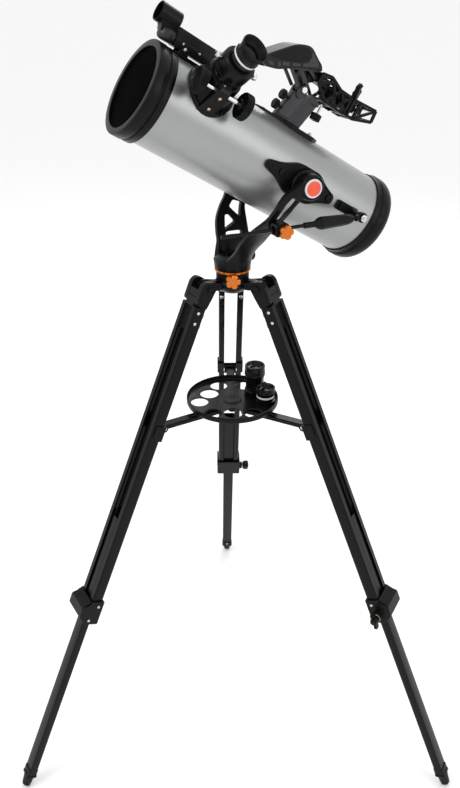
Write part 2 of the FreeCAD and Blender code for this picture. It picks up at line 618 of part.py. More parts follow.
def drawtube():
    """Tube that slides in the focuser, with the eyepiece collar on its top."""
    draw = tube(DRAWTUBE_R, DRAWTUBE_R - 2, (0, 0, 62), (0, 0, COLLAR_BASE + 2))
    collar = tube(26, BARREL_R + GAP, (0, 0, COLLAR_BASE), (0, 0, COLLAR_END))
    return on_focuser(fused(draw, collar.cut(cylinder(2, (-30, 0, SCREW_Z), (30, 0, SCREW_Z)))))


def eyepiece_screws():
    """Two chrome thumbscrews in the collar."""
    screws = []
    for side in (-1, 1):
        screw = fused(cylinder(1.95, (side * 16.6, 0, SCREW_Z), (side * 30, 0, SCREW_Z)),
                      cylinder(4.5, (side * 28, 0, SCREW_Z), (side * 37, 0, SCREW_Z)))
        screws.append(on_focuser(screw))
    return Part.makeCompound(screws)


def focus_knobs():
    """Pinion, shaft and the ribbed knob on each end."""
    y, z = PINION_Y, PINION_Z
    shaft = cylinder(3, (-46, y, z), (46, y, z))
    pinion = cylinder(PINION_R, (-8, y, z), (8, y, z))
    knobs = [cylinder(20, (side * 33, y, z), (side * 46, y, z)) for side in (-1, 1)]
    return on_focuser(fused(shaft, pinion, *knobs))


def eyepiece():
    """Eyepiece in the focuser: barrel, body with a white band and a flared rubber cup."""
    z = COLLAR_END
    profile = [(0, z - 21), (BARREL_R, z - 21), (BARREL_R, z + 0.2), (20, z + 0.2), (20, z + 14),
               (18, z + 15), (18, z + 18), (21.5, z + 30), (20, z + 31), (14, z + 22), (0, z + 22)]
    return on_focuser(turned(profile))


# ---- finder and phone dock, in a frame on top of the tube (x along it, z outward from its axis) ----
def on_top(shape):
    """From the frame on top of the tube to the tripod frame."""
    return on_tube(shape)


def finder_bracket():
    """Foot on the tube with two ears and the pin that the finder tilts on."""
    x, z = FINDER_HINGE
    foot = block(34, 84, -11, 11, 60, 76)
    ears = block(x - 6, x + 6, -12.8, 12.8, 70, z + 4).cut(block(x - 7, x + 7, -10.3, 10.3, 76, z + 5))
    body = fused(foot, ears).cut(cylinder(TUBE_R + 0.1, (-99, 0, 0), (200, 0, 0)))
    return on_top(fused(body, cylinder(2, (x, -12.8, z), (x, 12.8, z))))


def finder_body():
    """Red-dot finder: long body with a sloping top, rounded nose and sight tube."""
    x, z = FINDER_HINGE
    body = block(22, 97, -10, 10, 78.3, 94)
    ridge = Part.makePolygon([V(22, -10, 94), V(22, 10, 94), V(22, 5, 106), V(22, -5, 106), V(22, -10, 94)])
    body = fused(body, Part.Face(ridge).extrude(V(75, 0, 0)), cylinder(11, (-4, 0, 90), (23, 0, 90)))
    neck = block(-6, 14, -5, 5, 94, 98)
    sight = tube(15, 13, (-14, 0, 110), (21, 0, 110))
    return on_top(fused(body, neck, sight).cut(cylinder(2 + RUNNING_FIT, (x, -12, z), (x, 12, z))))


def dock_base():
    """Saddle on the tube, the tower above it and the ears that carry the head."""
    x, z = DOCK_HINGE
    half = [(193, 9), (205, 14), (240, 18), (258, 27), (300, 27), (318, 14)]
    saddle = prism_xy(half + [(px, -py) for px, py in half[::-1]], 55, 77)
    tower = prism_xz([(226, 76), (280, 76), (291, 120), (237, 120)], -17, 17)
    ears = block(x - 7, x + 7, -15, 15, 118, z + 6).cut(block(x - 8, x + 8, -9, 9, 120, z + 7))
    body = fused(saddle, tower, ears).cut(cylinder(TUBE_R + 0.1, (100, 0, 0), (400, 0, 0)))
    for front, height in ((233, 106), (229, 88)):
        body = body.cut(cylinder(2.5 + RUNNING_FIT, (front - 9, -6, height), (front + 12, -6, height)))
    return on_top(fused(body, cylinder(3, (x, -15, z), (x, 15, z))))


def dock_knob(front, height):
    """Aiming knob with a shaft in the tower's front face."""
    return on_top(fused(cylinder(8, (front - 13, -6, height), (front - 4, -6, height)),
                        cylinder(2.5, (front - 5, -6, height), (front + 11, -6, height))))


def dock_head():
    """Curved mirror hood that opens downwards, on a link between the tower's ears."""
    x, z = DOCK_HINGE
    outline = [(154, 140), (156, 154), (175, 166), (205, 177), (226, 185), (237, 184), (256, 174),
               (262, 166), (260, 152), (240, 137), (193, 130), (168, 125), (158, 127)]
    inside = [(150, 120), (150, 139), (162, 152), (178, 162), (206, 173), (226, 181), (232, 181),
              (232, 120)]
    hood = prism_xz(outline, -22, 22).cut(prism_xz(inside, -19, 19))
    link = fused(cylinder(6, (x, -8.7, z), (x, 8.7, z)),
                 prism_xz([(x - 6, z), (x + 6, z), (258, 160), (236, 160)], -8.7, 8.7))
    return on_top(fused(hood, link).cut(cylinder(3 + RUNNING_FIT, (x, -9, z), (x, 9, z))))


def phone_cradle():
    """Ribbed frame behind the hood, with a groove for the jaw's tongue."""
    outline = [(262.3, 146), (262.3, 165), (282, 168), (308, 158), (334, 158), (334, 127), (287, 127)]
    body = prism_xz(outline, -22, 26)
    for low in (-18, 9):
        body = body.cut(block(296, 326, low, low + 13, 120, 170))
    body = body.cut(block(285, 335, -5 - GAP, 5 + GAP, 140 - GAP, 150 + GAP))
    return on_top(body.cut(cylinder(2.5 + RUNNING_FIT, (301, 0, 100), (301, 0, 135))))


def phone_jaw():
    """Sliding jaw with two prongs and an open triangular end."""
    body = prism_xz([(336, 128), (352, 128), (391, 140), (388, 163), (352, 160), (336, 158)], -22, 26)
    body = body.cut(prism_xz([(358, 136), (384, 144), (382, 156), (358, 153)], -30, 30))
    body = body.cut(block(335, 345, -18, 22, 120, 134))
    tongue = block(290, 337, -5, 5, 140, 150)
    prongs = [block(px, px + 7, low, low + 12, 156, top)
              for px, low, top in ((337, -22, 182), (358, 14, 178))]
    return on_top(fused(body, tongue, *prongs))


def dock_side_knob():
    """Locking knob below the cradle, on a bright shaft."""
    return on_top(fused(cylinder(2.5, (301, 0, 108), (301, 0, 134.5)),
                        cylinder(9, (301, 0, 98), (301, 0, 110))))


def every_piece():
    """All nodes by name."""
    pieces = {"hub_casting": hub_casting(),
              "azimuth_ring": tube(30.5, SPINDLE_R + 1, (0, 0, COLLAR_TOP), (0, 0, RING_TOP)),
              "azimuth_spindle": cylinder(SPINDLE_R, (0, 0, 970), (0, 0, 1025)),
              "leg_hinge_bolts": leg_hinge_bolts(), "azimuth_lock_knob": azimuth_lock_knob()}
    slider, foot = leg_slider()
    ground = block(-60, 60, -60, 60, -60, 0)
    for name, bearing in LEG_BEARINGS.items():
        pieces["leg_rails_" + name] = on_leg(leg_rails(), bearing)
        pieces["leg_top_fitting_" + name] = on_leg(leg_top_fitting(), bearing)
        pieces["leg_clamp_" + name] = on_leg(leg_clamp(), bearing)
        pieces["spreader_bracket_" + name] = on_leg(spreader_bracket(), bearing)
        floor = on_bearing(moved(ground, (FOOT_RADIUS, 0, 0)), bearing)
        standing = on_leg(foot, bearing).cut(floor)
        pieces["leg_slider_" + name] = Part.makeCompound([on_leg(slider, bearing), standing])
        pieces["leg_knob_" + name] = on_leg(leg_knob(), bearing)
        pieces["spreader_arm_" + name] = on_bearing(spreader_arm(), bearing)
    pieces["spreader_hub"] = spreader_hub()
    pieces["accessory_tray"] = accessory_tray()
    pieces["spare_eyepiece_tall"] = spare_eyepiece(18.2, 60.0, 0)
    pieces["spare_eyepiece_short"] = spare_eyepiece(17.2, 30.0, -1)
    for maker in (yoke, altitude_pivots, rod_clamp, rod_clamp_knob, altitude_rod, altitude_grip, tube_shell,
                  front_ring, rear_ring, altitude_plates, rod_bracket, spider, secondary_mirror, primary_mirror,
                  mirror_cell, collimation_screws, focuser_body, drawtube, eyepiece_screws, focus_knobs, eyepiece,
                  finder_bracket, finder_body, dock_base, dock_head, phone_cradle, phone_jaw, dock_side_knob):
        pieces[maker.__name__] = maker()
    pieces["dock_knob_upper"] = dock_knob(233, 106)
    pieces["dock_knob_lower"] = dock_knob(229, 88)
    return pieces


def footprint_offset(pieces):
    """The shift that puts the origin at the centre of the feet's rectangle."""
    feet = Part.makeCompound([pieces["leg_slider_" + name] for name in LEG_BEARINGS])
    box = feet.optimalBoundingBox()
    return V(-(box.XMin + box.XMax) / 2, -(box.YMin + box.YMax) / 2, 0)


if __name__ == "__main__":
    os.makedirs("parts", exist_ok=True)
    nodes = every_piece()
    offset = footprint_offset(nodes)
    for node, shape in nodes.items():
        moved(shape, offset).exportStep("parts/" + node + ".step")
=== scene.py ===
"""Newtonian reflector telescope on a yoke and folding tripod: the looks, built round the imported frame.

Each piece is made in millimetres in the local frame of the part it belongs to, then set in place in
metres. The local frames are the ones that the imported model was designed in.
"""

import math

import bmesh
import bpy
from mathutils import Matrix, Vector


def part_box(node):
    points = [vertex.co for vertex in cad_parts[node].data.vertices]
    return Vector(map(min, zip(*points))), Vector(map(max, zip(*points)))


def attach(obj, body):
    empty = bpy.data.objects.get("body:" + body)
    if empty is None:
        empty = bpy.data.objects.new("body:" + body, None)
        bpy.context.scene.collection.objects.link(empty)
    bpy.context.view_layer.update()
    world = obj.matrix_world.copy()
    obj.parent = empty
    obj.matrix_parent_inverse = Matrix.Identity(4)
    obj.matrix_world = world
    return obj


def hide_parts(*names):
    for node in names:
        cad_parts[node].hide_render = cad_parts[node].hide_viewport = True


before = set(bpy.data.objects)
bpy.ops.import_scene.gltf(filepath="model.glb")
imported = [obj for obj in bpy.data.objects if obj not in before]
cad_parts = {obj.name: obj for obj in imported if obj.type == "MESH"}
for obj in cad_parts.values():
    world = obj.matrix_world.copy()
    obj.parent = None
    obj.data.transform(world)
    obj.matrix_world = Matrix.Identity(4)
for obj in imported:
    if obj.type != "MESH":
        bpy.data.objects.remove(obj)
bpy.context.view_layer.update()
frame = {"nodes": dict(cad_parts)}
MM = 0.001


# ---- local frames --------------------------------------------------------------------------------
def rot(angle, axis):
    """Rotation in degrees."""
    return Matrix.Rotation(math.radians(angle), 4, axis)


def shift(x, y, z):
    """Translation in millimetres."""
    return Matrix.Translation((x, y, z))


spindle_low, spindle_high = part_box("azimuth_spindle")
AXIS = shift(500 * (spindle_low.x + spindle_high.x), 500 * (spindle_low.y + spindle_high.y), 0)
BEARINGS = {"rear": 90.0, "left": 210.0, "right": 330.0}
FOOT_RADIUS = 488.0
HINGE_RADIUS = 56.0
HINGE_HEIGHT = 986.0
LEG_OFFSET = 7.0
HINGE_TO_TIP = math.hypot(FOOT_RADIUS - HINGE_RADIUS, HINGE_HEIGHT)
LEG_LENGTH = math.sqrt(HINGE_TO_TIP ** 2 - LEG_OFFSET ** 2)
SPLAY = (math.degrees(math.atan2(FOOT_RADIUS - HINGE_RADIUS, HINGE_HEIGHT))
    - math.degrees(math.atan2(LEG_OFFSET, LEG_LENGTH)))
YOKE_BEARING = 22.8
ALTITUDE = 31.6
PIVOT_REACH = 90.0               # from the azimuth axis to the altitude pivot
PIVOT_HEIGHT = 1158.4
TUBE_PIVOT = 297.0               # from the tube's front to the altitude pivot
TUBE_RADIUS = 70.0
YOKE = AXIS @ rot(YOKE_BEARING, "Z")
TUBE = YOKE @ shift(PIVOT_REACH, 0, PIVOT_HEIGHT) @ rot(ALTITUDE, "Y") @ shift(-TUBE_PIVOT, 0, 0)
FOCUS = TUBE @ shift(92, 0, 0) @ rot(45, "X")
ALONG_X = rot(90, "Y")           # lays a turned shape along +x
ALONG_NEAR = rot(90, "X")        # lays a turned shape along -y


def leg_frame(bearing):
    """A leg's centre line runs along -z and its outer face looks along +x."""
    return (AXIS @ rot(bearing, "Z") @ shift(HINGE_RADIUS, 0, HINGE_HEIGHT) @ rot(-SPLAY,
        "Y") @ shift(LEG_OFFSET, 0, 0))


# ---- materials -----------------------------------------------------------------------------------
def material(name, colour, metallic=0.0, roughness=0.5, vary=0.15, grain=900.0, bump=0.05, rough_vary=0.08,
        stretch=(1, 1, 1), coat=0.0, specular=0.5):
    """Shader with fine grain in its bump, slow variation in colour and patchy roughness."""
    mat = bpy.data.materials.new(name)
    mat.use_nodes = True
    nodes, links = mat.node_tree.nodes, mat.node_tree.links
    shader = nodes["Principled BSDF"]
    shader.inputs["Metallic"].default_value = metallic
    shader.inputs["Specular IOR Level"].default_value = specular
    if coat:
        shader.inputs["Coat Weight"].default_value = coat
        shader.inputs["Coat Roughness"].default_value = 0.12
    place = nodes.new("ShaderNodeTexCoord")
    mapping = nodes.new("ShaderNodeMapping")
    mapping.inputs["Scale"].default_value = stretch
    links.new(place.outputs["Object"], mapping.inputs["Vector"])

    def noise(scale, detail):
        node = nodes.new("ShaderNodeTexNoise")
        node.inputs["Scale"].default_value = scale
        node.inputs["Detail"].default_value = detail
        links.new(mapping.outputs["Vector"], node.inputs["Vector"])
        return node.outputs["Fac"]

    def spread(value, low, high):
        node = nodes.new("ShaderNodeMapRange")
        node.inputs["From Min"].default_value = 0.3
        node.inputs["From Max"].default_value = 0.7
        node.inputs["To Min"].default_value = low
        node.inputs["To Max"].default_value = high
        links.new(value, node.inputs["Value"])
        return node.outputs["Result"]

    mix = nodes.new("ShaderNodeMix")
    mix.data_type = "RGBA"
    mix.inputs["A"].default_value = [c * (1 - vary) for c in colour] + [1]
    mix.inputs["B"].default_value = [min(1, c * (1 + vary)) for c in colour] + [1]
    links.new(spread(noise(45, 5), 0, 1), mix.inputs["Factor"])
    links.new(mix.outputs["Result"], shader.inputs["Base Color"])
    links.new(spread(noise(160, 4), max(0.02, roughness - rough_vary), min(1, roughness + rough_vary)),
        shader.inputs["Roughness"])
    height = nodes.new("ShaderNodeBump")
    height.inputs["Strength"].default_value = bump
    height.inputs["Distance"].default_value = 0.0004
    links.new(noise(grain, 3), height.inputs["Height"])
    links.new(height.outputs["Normal"], shader.inputs["Normal"])
    return mat


SILVER = material("silver_paint", (0.33, 0.335, 0.335), 0.85, 0.36, 0.015, 2600, 0.04, 0.015, coat=0.1)
TUBE_INSIDE = material("matt_black_lining", (0.006, 0.006, 0.006), 0, 0.8, 0.2, 1500, 0.2, specular=0.2)
CASTING = material("black_casting", (0.0030, 0.0030, 0.0034), 0, 0.34, 0.2, 1600, 0.12, 0.06, specular=0.14)
PLASTIC = material("black_plastic", (0.0030, 0.0030, 0.0034), 0, 0.32, 0.2, 2200, 0.10, 0.06, specular=0.14)
GLOSS = material("gloss_black_plastic", (0.0025, 0.0025, 0.003), 0, 0.16, 0.2, 700, 0.02, 0.04, specular=0.2)
PAINT = material("black_leg_paint", (0.0022, 0.0022, 0.0026), 0, 0.26, 0.2, 500, 0.04, 0.05, (1, 1, 0.06),
    specular=0.14)
STEEL = material("turned_steel", (0.62, 0.62, 0.60), 1, 0.26, 0.1, 900, 0.08, 0.08, (1, 1, 0.1))
CHROME = material("bright_chrome", (0.62, 0.62, 0.63), 1, 0.14, 0.06, 500, 0.02, 0.04)
BRASS = material("pale_brass", (0.62, 0.52, 0.33), 1, 0.3, 0.12, 900, 0.08)
ORANGE = material("orange_anodised", (0.62, 0.16, 0.015), 0.75, 0.28, 0.12, 1400, 0.06, 0.06, coat=0.2)
RED = material("red_orange_cap", (0.75, 0.075, 0.03), 0, 0.4, 0.08, 1400, 0.04)
RUBBER = material("black_rubber", (0.004, 0.004, 0.004), 0, 0.5, 0.2, 1300, 0.2, specular=0.15)
WHITE = material("white_band", (0.62, 0.62, 0.64), 0, 0.45, 0.06, 1200, 0.04)
GREY = material("grey_plastic", (0.040, 0.040, 0.046), 0, 0.38, 0.1, 1500, 0.08, specular=0.4)
SHADE = material("dark_grey_plastic", (0.014, 0.014, 0.018), 0, 0.36, 0.1, 1500, 0.08, specular=0.4)
LENS = material("coated_lens", (0.002, 0.002, 0.005), 0, 0.22, 0.3, 40, 0.0, 0.01, specular=0.12)
MIRROR = material("mirror_face", (0.86, 0.87, 0.88), 1, 0.03, 0.02, 300, 0.0, 0.01)


# ---- mesh building -------------------------------------------------------------------------------
def spin(bm, rings, matrix=Matrix(), segments=96, wave=None, mat=0, loop=False):
    """Rings of (radius, height[, wave amount[, hug]]) about z, joined in order.

    A ring with a hug of 1 follows the round surface of the optical tube below it.
    """
    rows = []
    for ring in rings:
        radius, height = ring[0], ring[1]
        amount = ring[2] if len(ring) > 2 else 0
        hug = ring[3] if len(ring) > 3 else 0
        if radius < 1e-6:
            rows.append([bm.verts.new(matrix @ Vector((0, 0, height)))])
            continue
        row = []
        for i in range(segments):
            angle = 2 * math.pi * i / segments
            r = radius + (amount * wave(angle) if amount else 0)
            x, y = r * math.cos(angle), r * math.sin(angle)
            drop = hug * (math.sqrt(TUBE_RADIUS ** 2 - min(y * y, 4800)) - TUBE_RADIUS) if hug else 0
            row.append(bm.verts.new(matrix @ Vector((x, y, height + drop))))
        rows.append(row)
    pairs = list(zip(rows, rows[1:])) + ([(rows[-1], rows[0])] if loop else [])
    for low, high in pairs:
        for i in range(segments):
            j = (i + 1) % segments
            if len(low) == 1 and len(high) == 1:
                break
            if len(low) == 1:
                corners = [low[0], high[j], high[i]]
            elif len(high) == 1:
                corners = [low[i], low[j], high[0]]
            else:
                corners = [low[i], low[j], high[j], high[i]]
            bm.faces.new(corners).material_index = mat


def prism(bm, outline, low, high, matrix=Matrix(), plane="xz", mat=0):
    """An outline in two axes, pushed along the third."""
    order = {"xz": lambda a, b, c: (a, c, b), "xy": lambda a, b, c: (a, b, c), "yz": lambda a, b,
        c: (c, a, b)}
    put = order[plane]
    ends = [[bm.verts.new(matrix @ Vector(put(a, b, level))) for a, b in outline] for level in (low, high)]
    faces = [bm.faces.new(ends[0]), bm.faces.new(ends[1][::-1])]
    for i in range(len(outline)):
        j = (i + 1) % len(outline)
        faces.append(bm.faces.new([ends[0][j], ends[0][i], ends[1][i], ends[1][j]]))
    for face in faces:
        face.material_index = mat


def block(bm, x0, x1, y0, y1, z0, z1, matrix=Matrix(), mat=0):
    """A box between two corners."""
    prism(bm, [(x0, y0), (x1, y0), (x1, y1), (x0, y1)], z0, z1, matrix, "xy", mat)


def rounded(points, radius, steps=5):
    """An outline with its corners rounded off."""
    result = []
    count = len(points)
    for i, point in enumerate(points):
        p = Vector(point)
        before = Vector(points[i - 1]) - p
        after = Vector(points[(i + 1) % count]) - p
        reach = min(radius, before.length * 0.48, after.length * 0.48)
        start = p + before.normalized() * reach
        end = p + after.normalized() * reach
        for k in range(steps + 1):
            t = k / steps
            q = (1 - t) ** 2 * start + 2 * t * (1 - t) * p + t * t * end
            result.append((q.x, q.y))
    return result


def scaled(points, factor, centre):
    """An outline grown or shrunk about a point."""
    cx, cy = centre
    return [(cx + (x - cx) * factor, cy + (y - cy) * factor) for x, y in points]


def piece(name, bm, where, body, mats, replaces=(), bevel=0.0, angle=38, segments=2, slot=None):
    """Turns a mesh in millimetres into a finished object on its body."""
    bmesh.ops.recalc_face_normals(bm, faces=bm.faces)
    bmesh.ops.scale(bm, vec=(MM, MM, MM), verts=bm.verts)
    mesh = bpy.data.meshes.new(name)
    bm.to_mesh(mesh)
    bm.free()
    for mat in (mats if isinstance(mats, (list, tuple)) else [mats]):
        mesh.materials.append(mat)
    mesh.shade_smooth()
    mesh.set_sharp_from_angle(angle=math.radians(angle))
    obj = bpy.data.objects.new(name, mesh)
    bpy.context.scene.collection.objects.link(obj)
    place = where.copy()
    place.translation = place.translation * MM
    obj.matrix_world = place
    if bevel:
        edge = obj.modifiers.new("edges", "BEVEL")
        edge.width = bevel * MM
        edge.segments = segments
        edge.limit_method = "ANGLE"
        edge.angle_limit = math.radians(angle)
        edge.harden_normals = True
    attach(obj, body)
    if replaces:
        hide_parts(*([replaces] if isinstance(replaces, str) else replaces))
    return obj


def carve(bm, cutter):
    """Takes one closed mesh out of another, both in millimetres, and returns the result."""
    names = []
    for source in (bm, cutter):
        bmesh.ops.recalc_face_normals(source, faces=source.faces)
        mesh = bpy.data.meshes.new("carve")
        source.to_mesh(mesh)
        source.free()
        mesh.materials.append(None)
        mesh.materials.append(None)
        obj = bpy.data.objects.new("carve", mesh)
        bpy.context.scene.collection.objects.link(obj)
        names.append(obj)
    body, tool = names
    boolean = body.modifiers.new("carve", "BOOLEAN")
    boolean.operation = "DIFFERENCE"
    boolean.solver = "EXACT"
    boolean.object = tool
    graph = bpy.context.evaluated_depsgraph_get()
    result = bmesh.new()
    result.from_mesh(body.evaluated_get(graph).to_mesh())
    for obj in names:
        mesh = obj.data
        bpy.data.objects.remove(obj)
        bpy.data.meshes.remove(mesh)
    return result


def new(*builders):
    """A mesh made by calling each builder on it."""
    bm = bmesh.new()
    for build in builders:
        build(bm)
    return bm


def turned(name, rings, where, body, mats, replaces=(), turn=Matrix(), around=96, wave=None, loop=False,
        **finish):
    """A piece made only of rings spun about local z, or about the axis that turn gives."""
    bm = bmesh.new()
    spin(bm, rings, turn, around, wave, loop=loop)
    return piece(name, bm, where, body, mats, replaces, **finish)


def bar(bm, start, end, wide=4.0, deep=4.0):
    """A square bar between two points."""
    along = Vector(end) - Vector(start)
    turn = along.to_track_quat("Z", "Y").to_matrix().to_4x4()
    block(bm, -wide / 2, wide / 2, -deep / 2, deep / 2, 0, along.length, Matrix.Translation(start) @ turn)


def ribs(count):
    """Wave with rounded ribs for knobs."""
    return lambda angle: 0.5 + 0.5 * math.cos(count * angle)


def lobes(count):
    """Wave with broad lobes for star knobs."""
    return lambda angle: abs(math.cos(count * angle / 2)) ** 0.7


def hexagon(angle):
    """Distance from a hexagon's middle to its side, where the corners are at 1."""
    return math.cos(math.pi / 6) / math.cos((angle % (math.pi / 3)) - math.pi / 6)


def screw_head(name, where, radius, height, body, mat, drive="hex", replaces=()):
    """Low domed screw head with a socket or a cross; its axis is local z."""
    bm = bmesh.new()
    socket = radius * 0.45
    if drive == "hex":
        wave = lambda a: hexagon(a) - 1
    else:
        wave = lambda a: 0.9 * abs(math.cos(2 * a)) ** 8
    inner = socket if drive == "hex" else radius * 0.22
    amount = socket if drive == "hex" else radius * 0.35
    spin(bm, [(radius, -1.0), (radius, height * 0.5), (radius * 0.88, height * 0.85),
        (radius * 0.66, height), (inner, height, amount), (inner, height * 0.35, amount),
        (0, height * 0.3)], segments=48, wave=wave)
    return piece(name, bm, where, body, mat, replaces, angle=30)


def star_knob(name, where, count, radius, thick, body, mat, replaces):
    """Star knob along local +z, its inner face at z = 0."""
    wave = lobes(count)
    low, amount = radius * 0.72, radius * 0.28
    bm = bmesh.new()
    spin(bm, [(0, 0), (low - 2, 0, amount), (low - 0.6, 0.8, amount), (low, 2, amount),
        (low, thick - 2.4, amount), (low - 0.8, thick - 0.9, amount), (low - 2.4, thick, amount),
        (radius * 0.45, thick), (radius * 0.42, thick - 0.7), (radius * 0.3, thick - 0.7),
        (0, thick - 0.2)], segments=160, wave=wave)
    return piece(name, bm, where, body, mat, replaces, angle=28)


# ---- legs ----------------------------------------------------------------------------------------
HALF = 23.0                      # half of a leg's width over both rails
DEPTH = 11.0                     # half of a rail's radial size
CLAMP_TOP = 618.0
CLAMP_END = 667.0
SCREW_AT = 651.0
SLIDER_TOP = 451.0
FOOT_LENGTH = 46.0
PLUG_END = 78.0


def both(build, bm):
    """The same build on each side of the leg's middle plane."""
    build(bm, Matrix())
    build(bm, Matrix.Scale(-1, 4, (0, 1, 0)))


def rail(bm, mirror):
    """Channel with rounded corners, a groove along its side face and its mouth to the middle."""
    outer = rounded([(-DEPTH, 12), (-DEPTH, HALF), (DEPTH, HALF), (DEPTH, 12)], 3.5, 4)
    outer = [(-DEPTH, 12)] + outer[6:-6] + [(DEPTH, 12)]
    inner = [(DEPTH - 1.7, 12), (DEPTH - 1.7, HALF - 3), (DEPTH - 3.2, HALF - 1.7), (3.5, HALF - 1.7),
        (2.5, HALF - 3.2), (-2.5, HALF - 3.2), (-3.5, HALF - 1.7), (-DEPTH + 3.2, HALF - 1.7),
        (-DEPTH + 1.7, HALF - 3), (-DEPTH + 1.7, 12)]
    prism(bm, outer + inner, -640, -34, mirror, "xy")


def top_cheek(bm, mirror):
    """One ear of the clevis, tapering down into the rail."""
    x = -LEG_OFFSET
    ear = rounded([(x - 10, 0), (x - 7, 9), (x, 12), (5, 12), (11.4, 3), (11.2, -30), (-11.2, -36),
        (x - 9, -10)], 5)
    prism(bm, ear, 12.4, HALF - 0.3, mirror, "xz")
    rim = rounded([(x - 7, -1), (x - 3, 7), (3, 8), (7, 1), (6, -24), (-8, -28)], 4)
    prism(bm, rim, HALF - 0.5, HALF + 0.5, mirror, "xz")
    tongue = rounded([(-9, -30), (9, -30), (9, -PLUG_END), (4, -PLUG_END - 4), (-4, -PLUG_END - 4),
        (-9, -PLUG_END)], 3)
    prism(bm, tongue, 12.4, 15.5, mirror, "xz")


def clamp_cheek(bm, mirror):
    """Side wall of the clamp with its angular nose."""
    side = rounded([(-DEPTH - 3, -CLAMP_TOP + 1), (DEPTH + 1, -CLAMP_TOP), (DEPTH + 3, -CLAMP_TOP - 6),
        (DEPTH + 17, -CLAMP_TOP - 13), (DEPTH + 17, -CLAMP_END + 16), (DEPTH + 3, -CLAMP_END),
        (-DEPTH - 3, -CLAMP_END)], 3)
    prism(bm, side, HALF + 0.1, HALF + 3.4, mirror, "xz")


def bracket_cheek(bm, mirror):
    """Cheek and ear of the spreader's bracket."""
    cheek = rounded([(-14, -254), (6, -254), (6, -276), (-4, -283), (-14, -283)], 3)
    prism(bm, cheek, HALF + 0.1, HALF + 2.6, mirror, "xz")
    ear = rounded([(-13, -255), (-29, -257), (-29, -269), (-13, -275)], 5)
    prism(bm, ear, 8.3, 11.2, mirror, "xz")


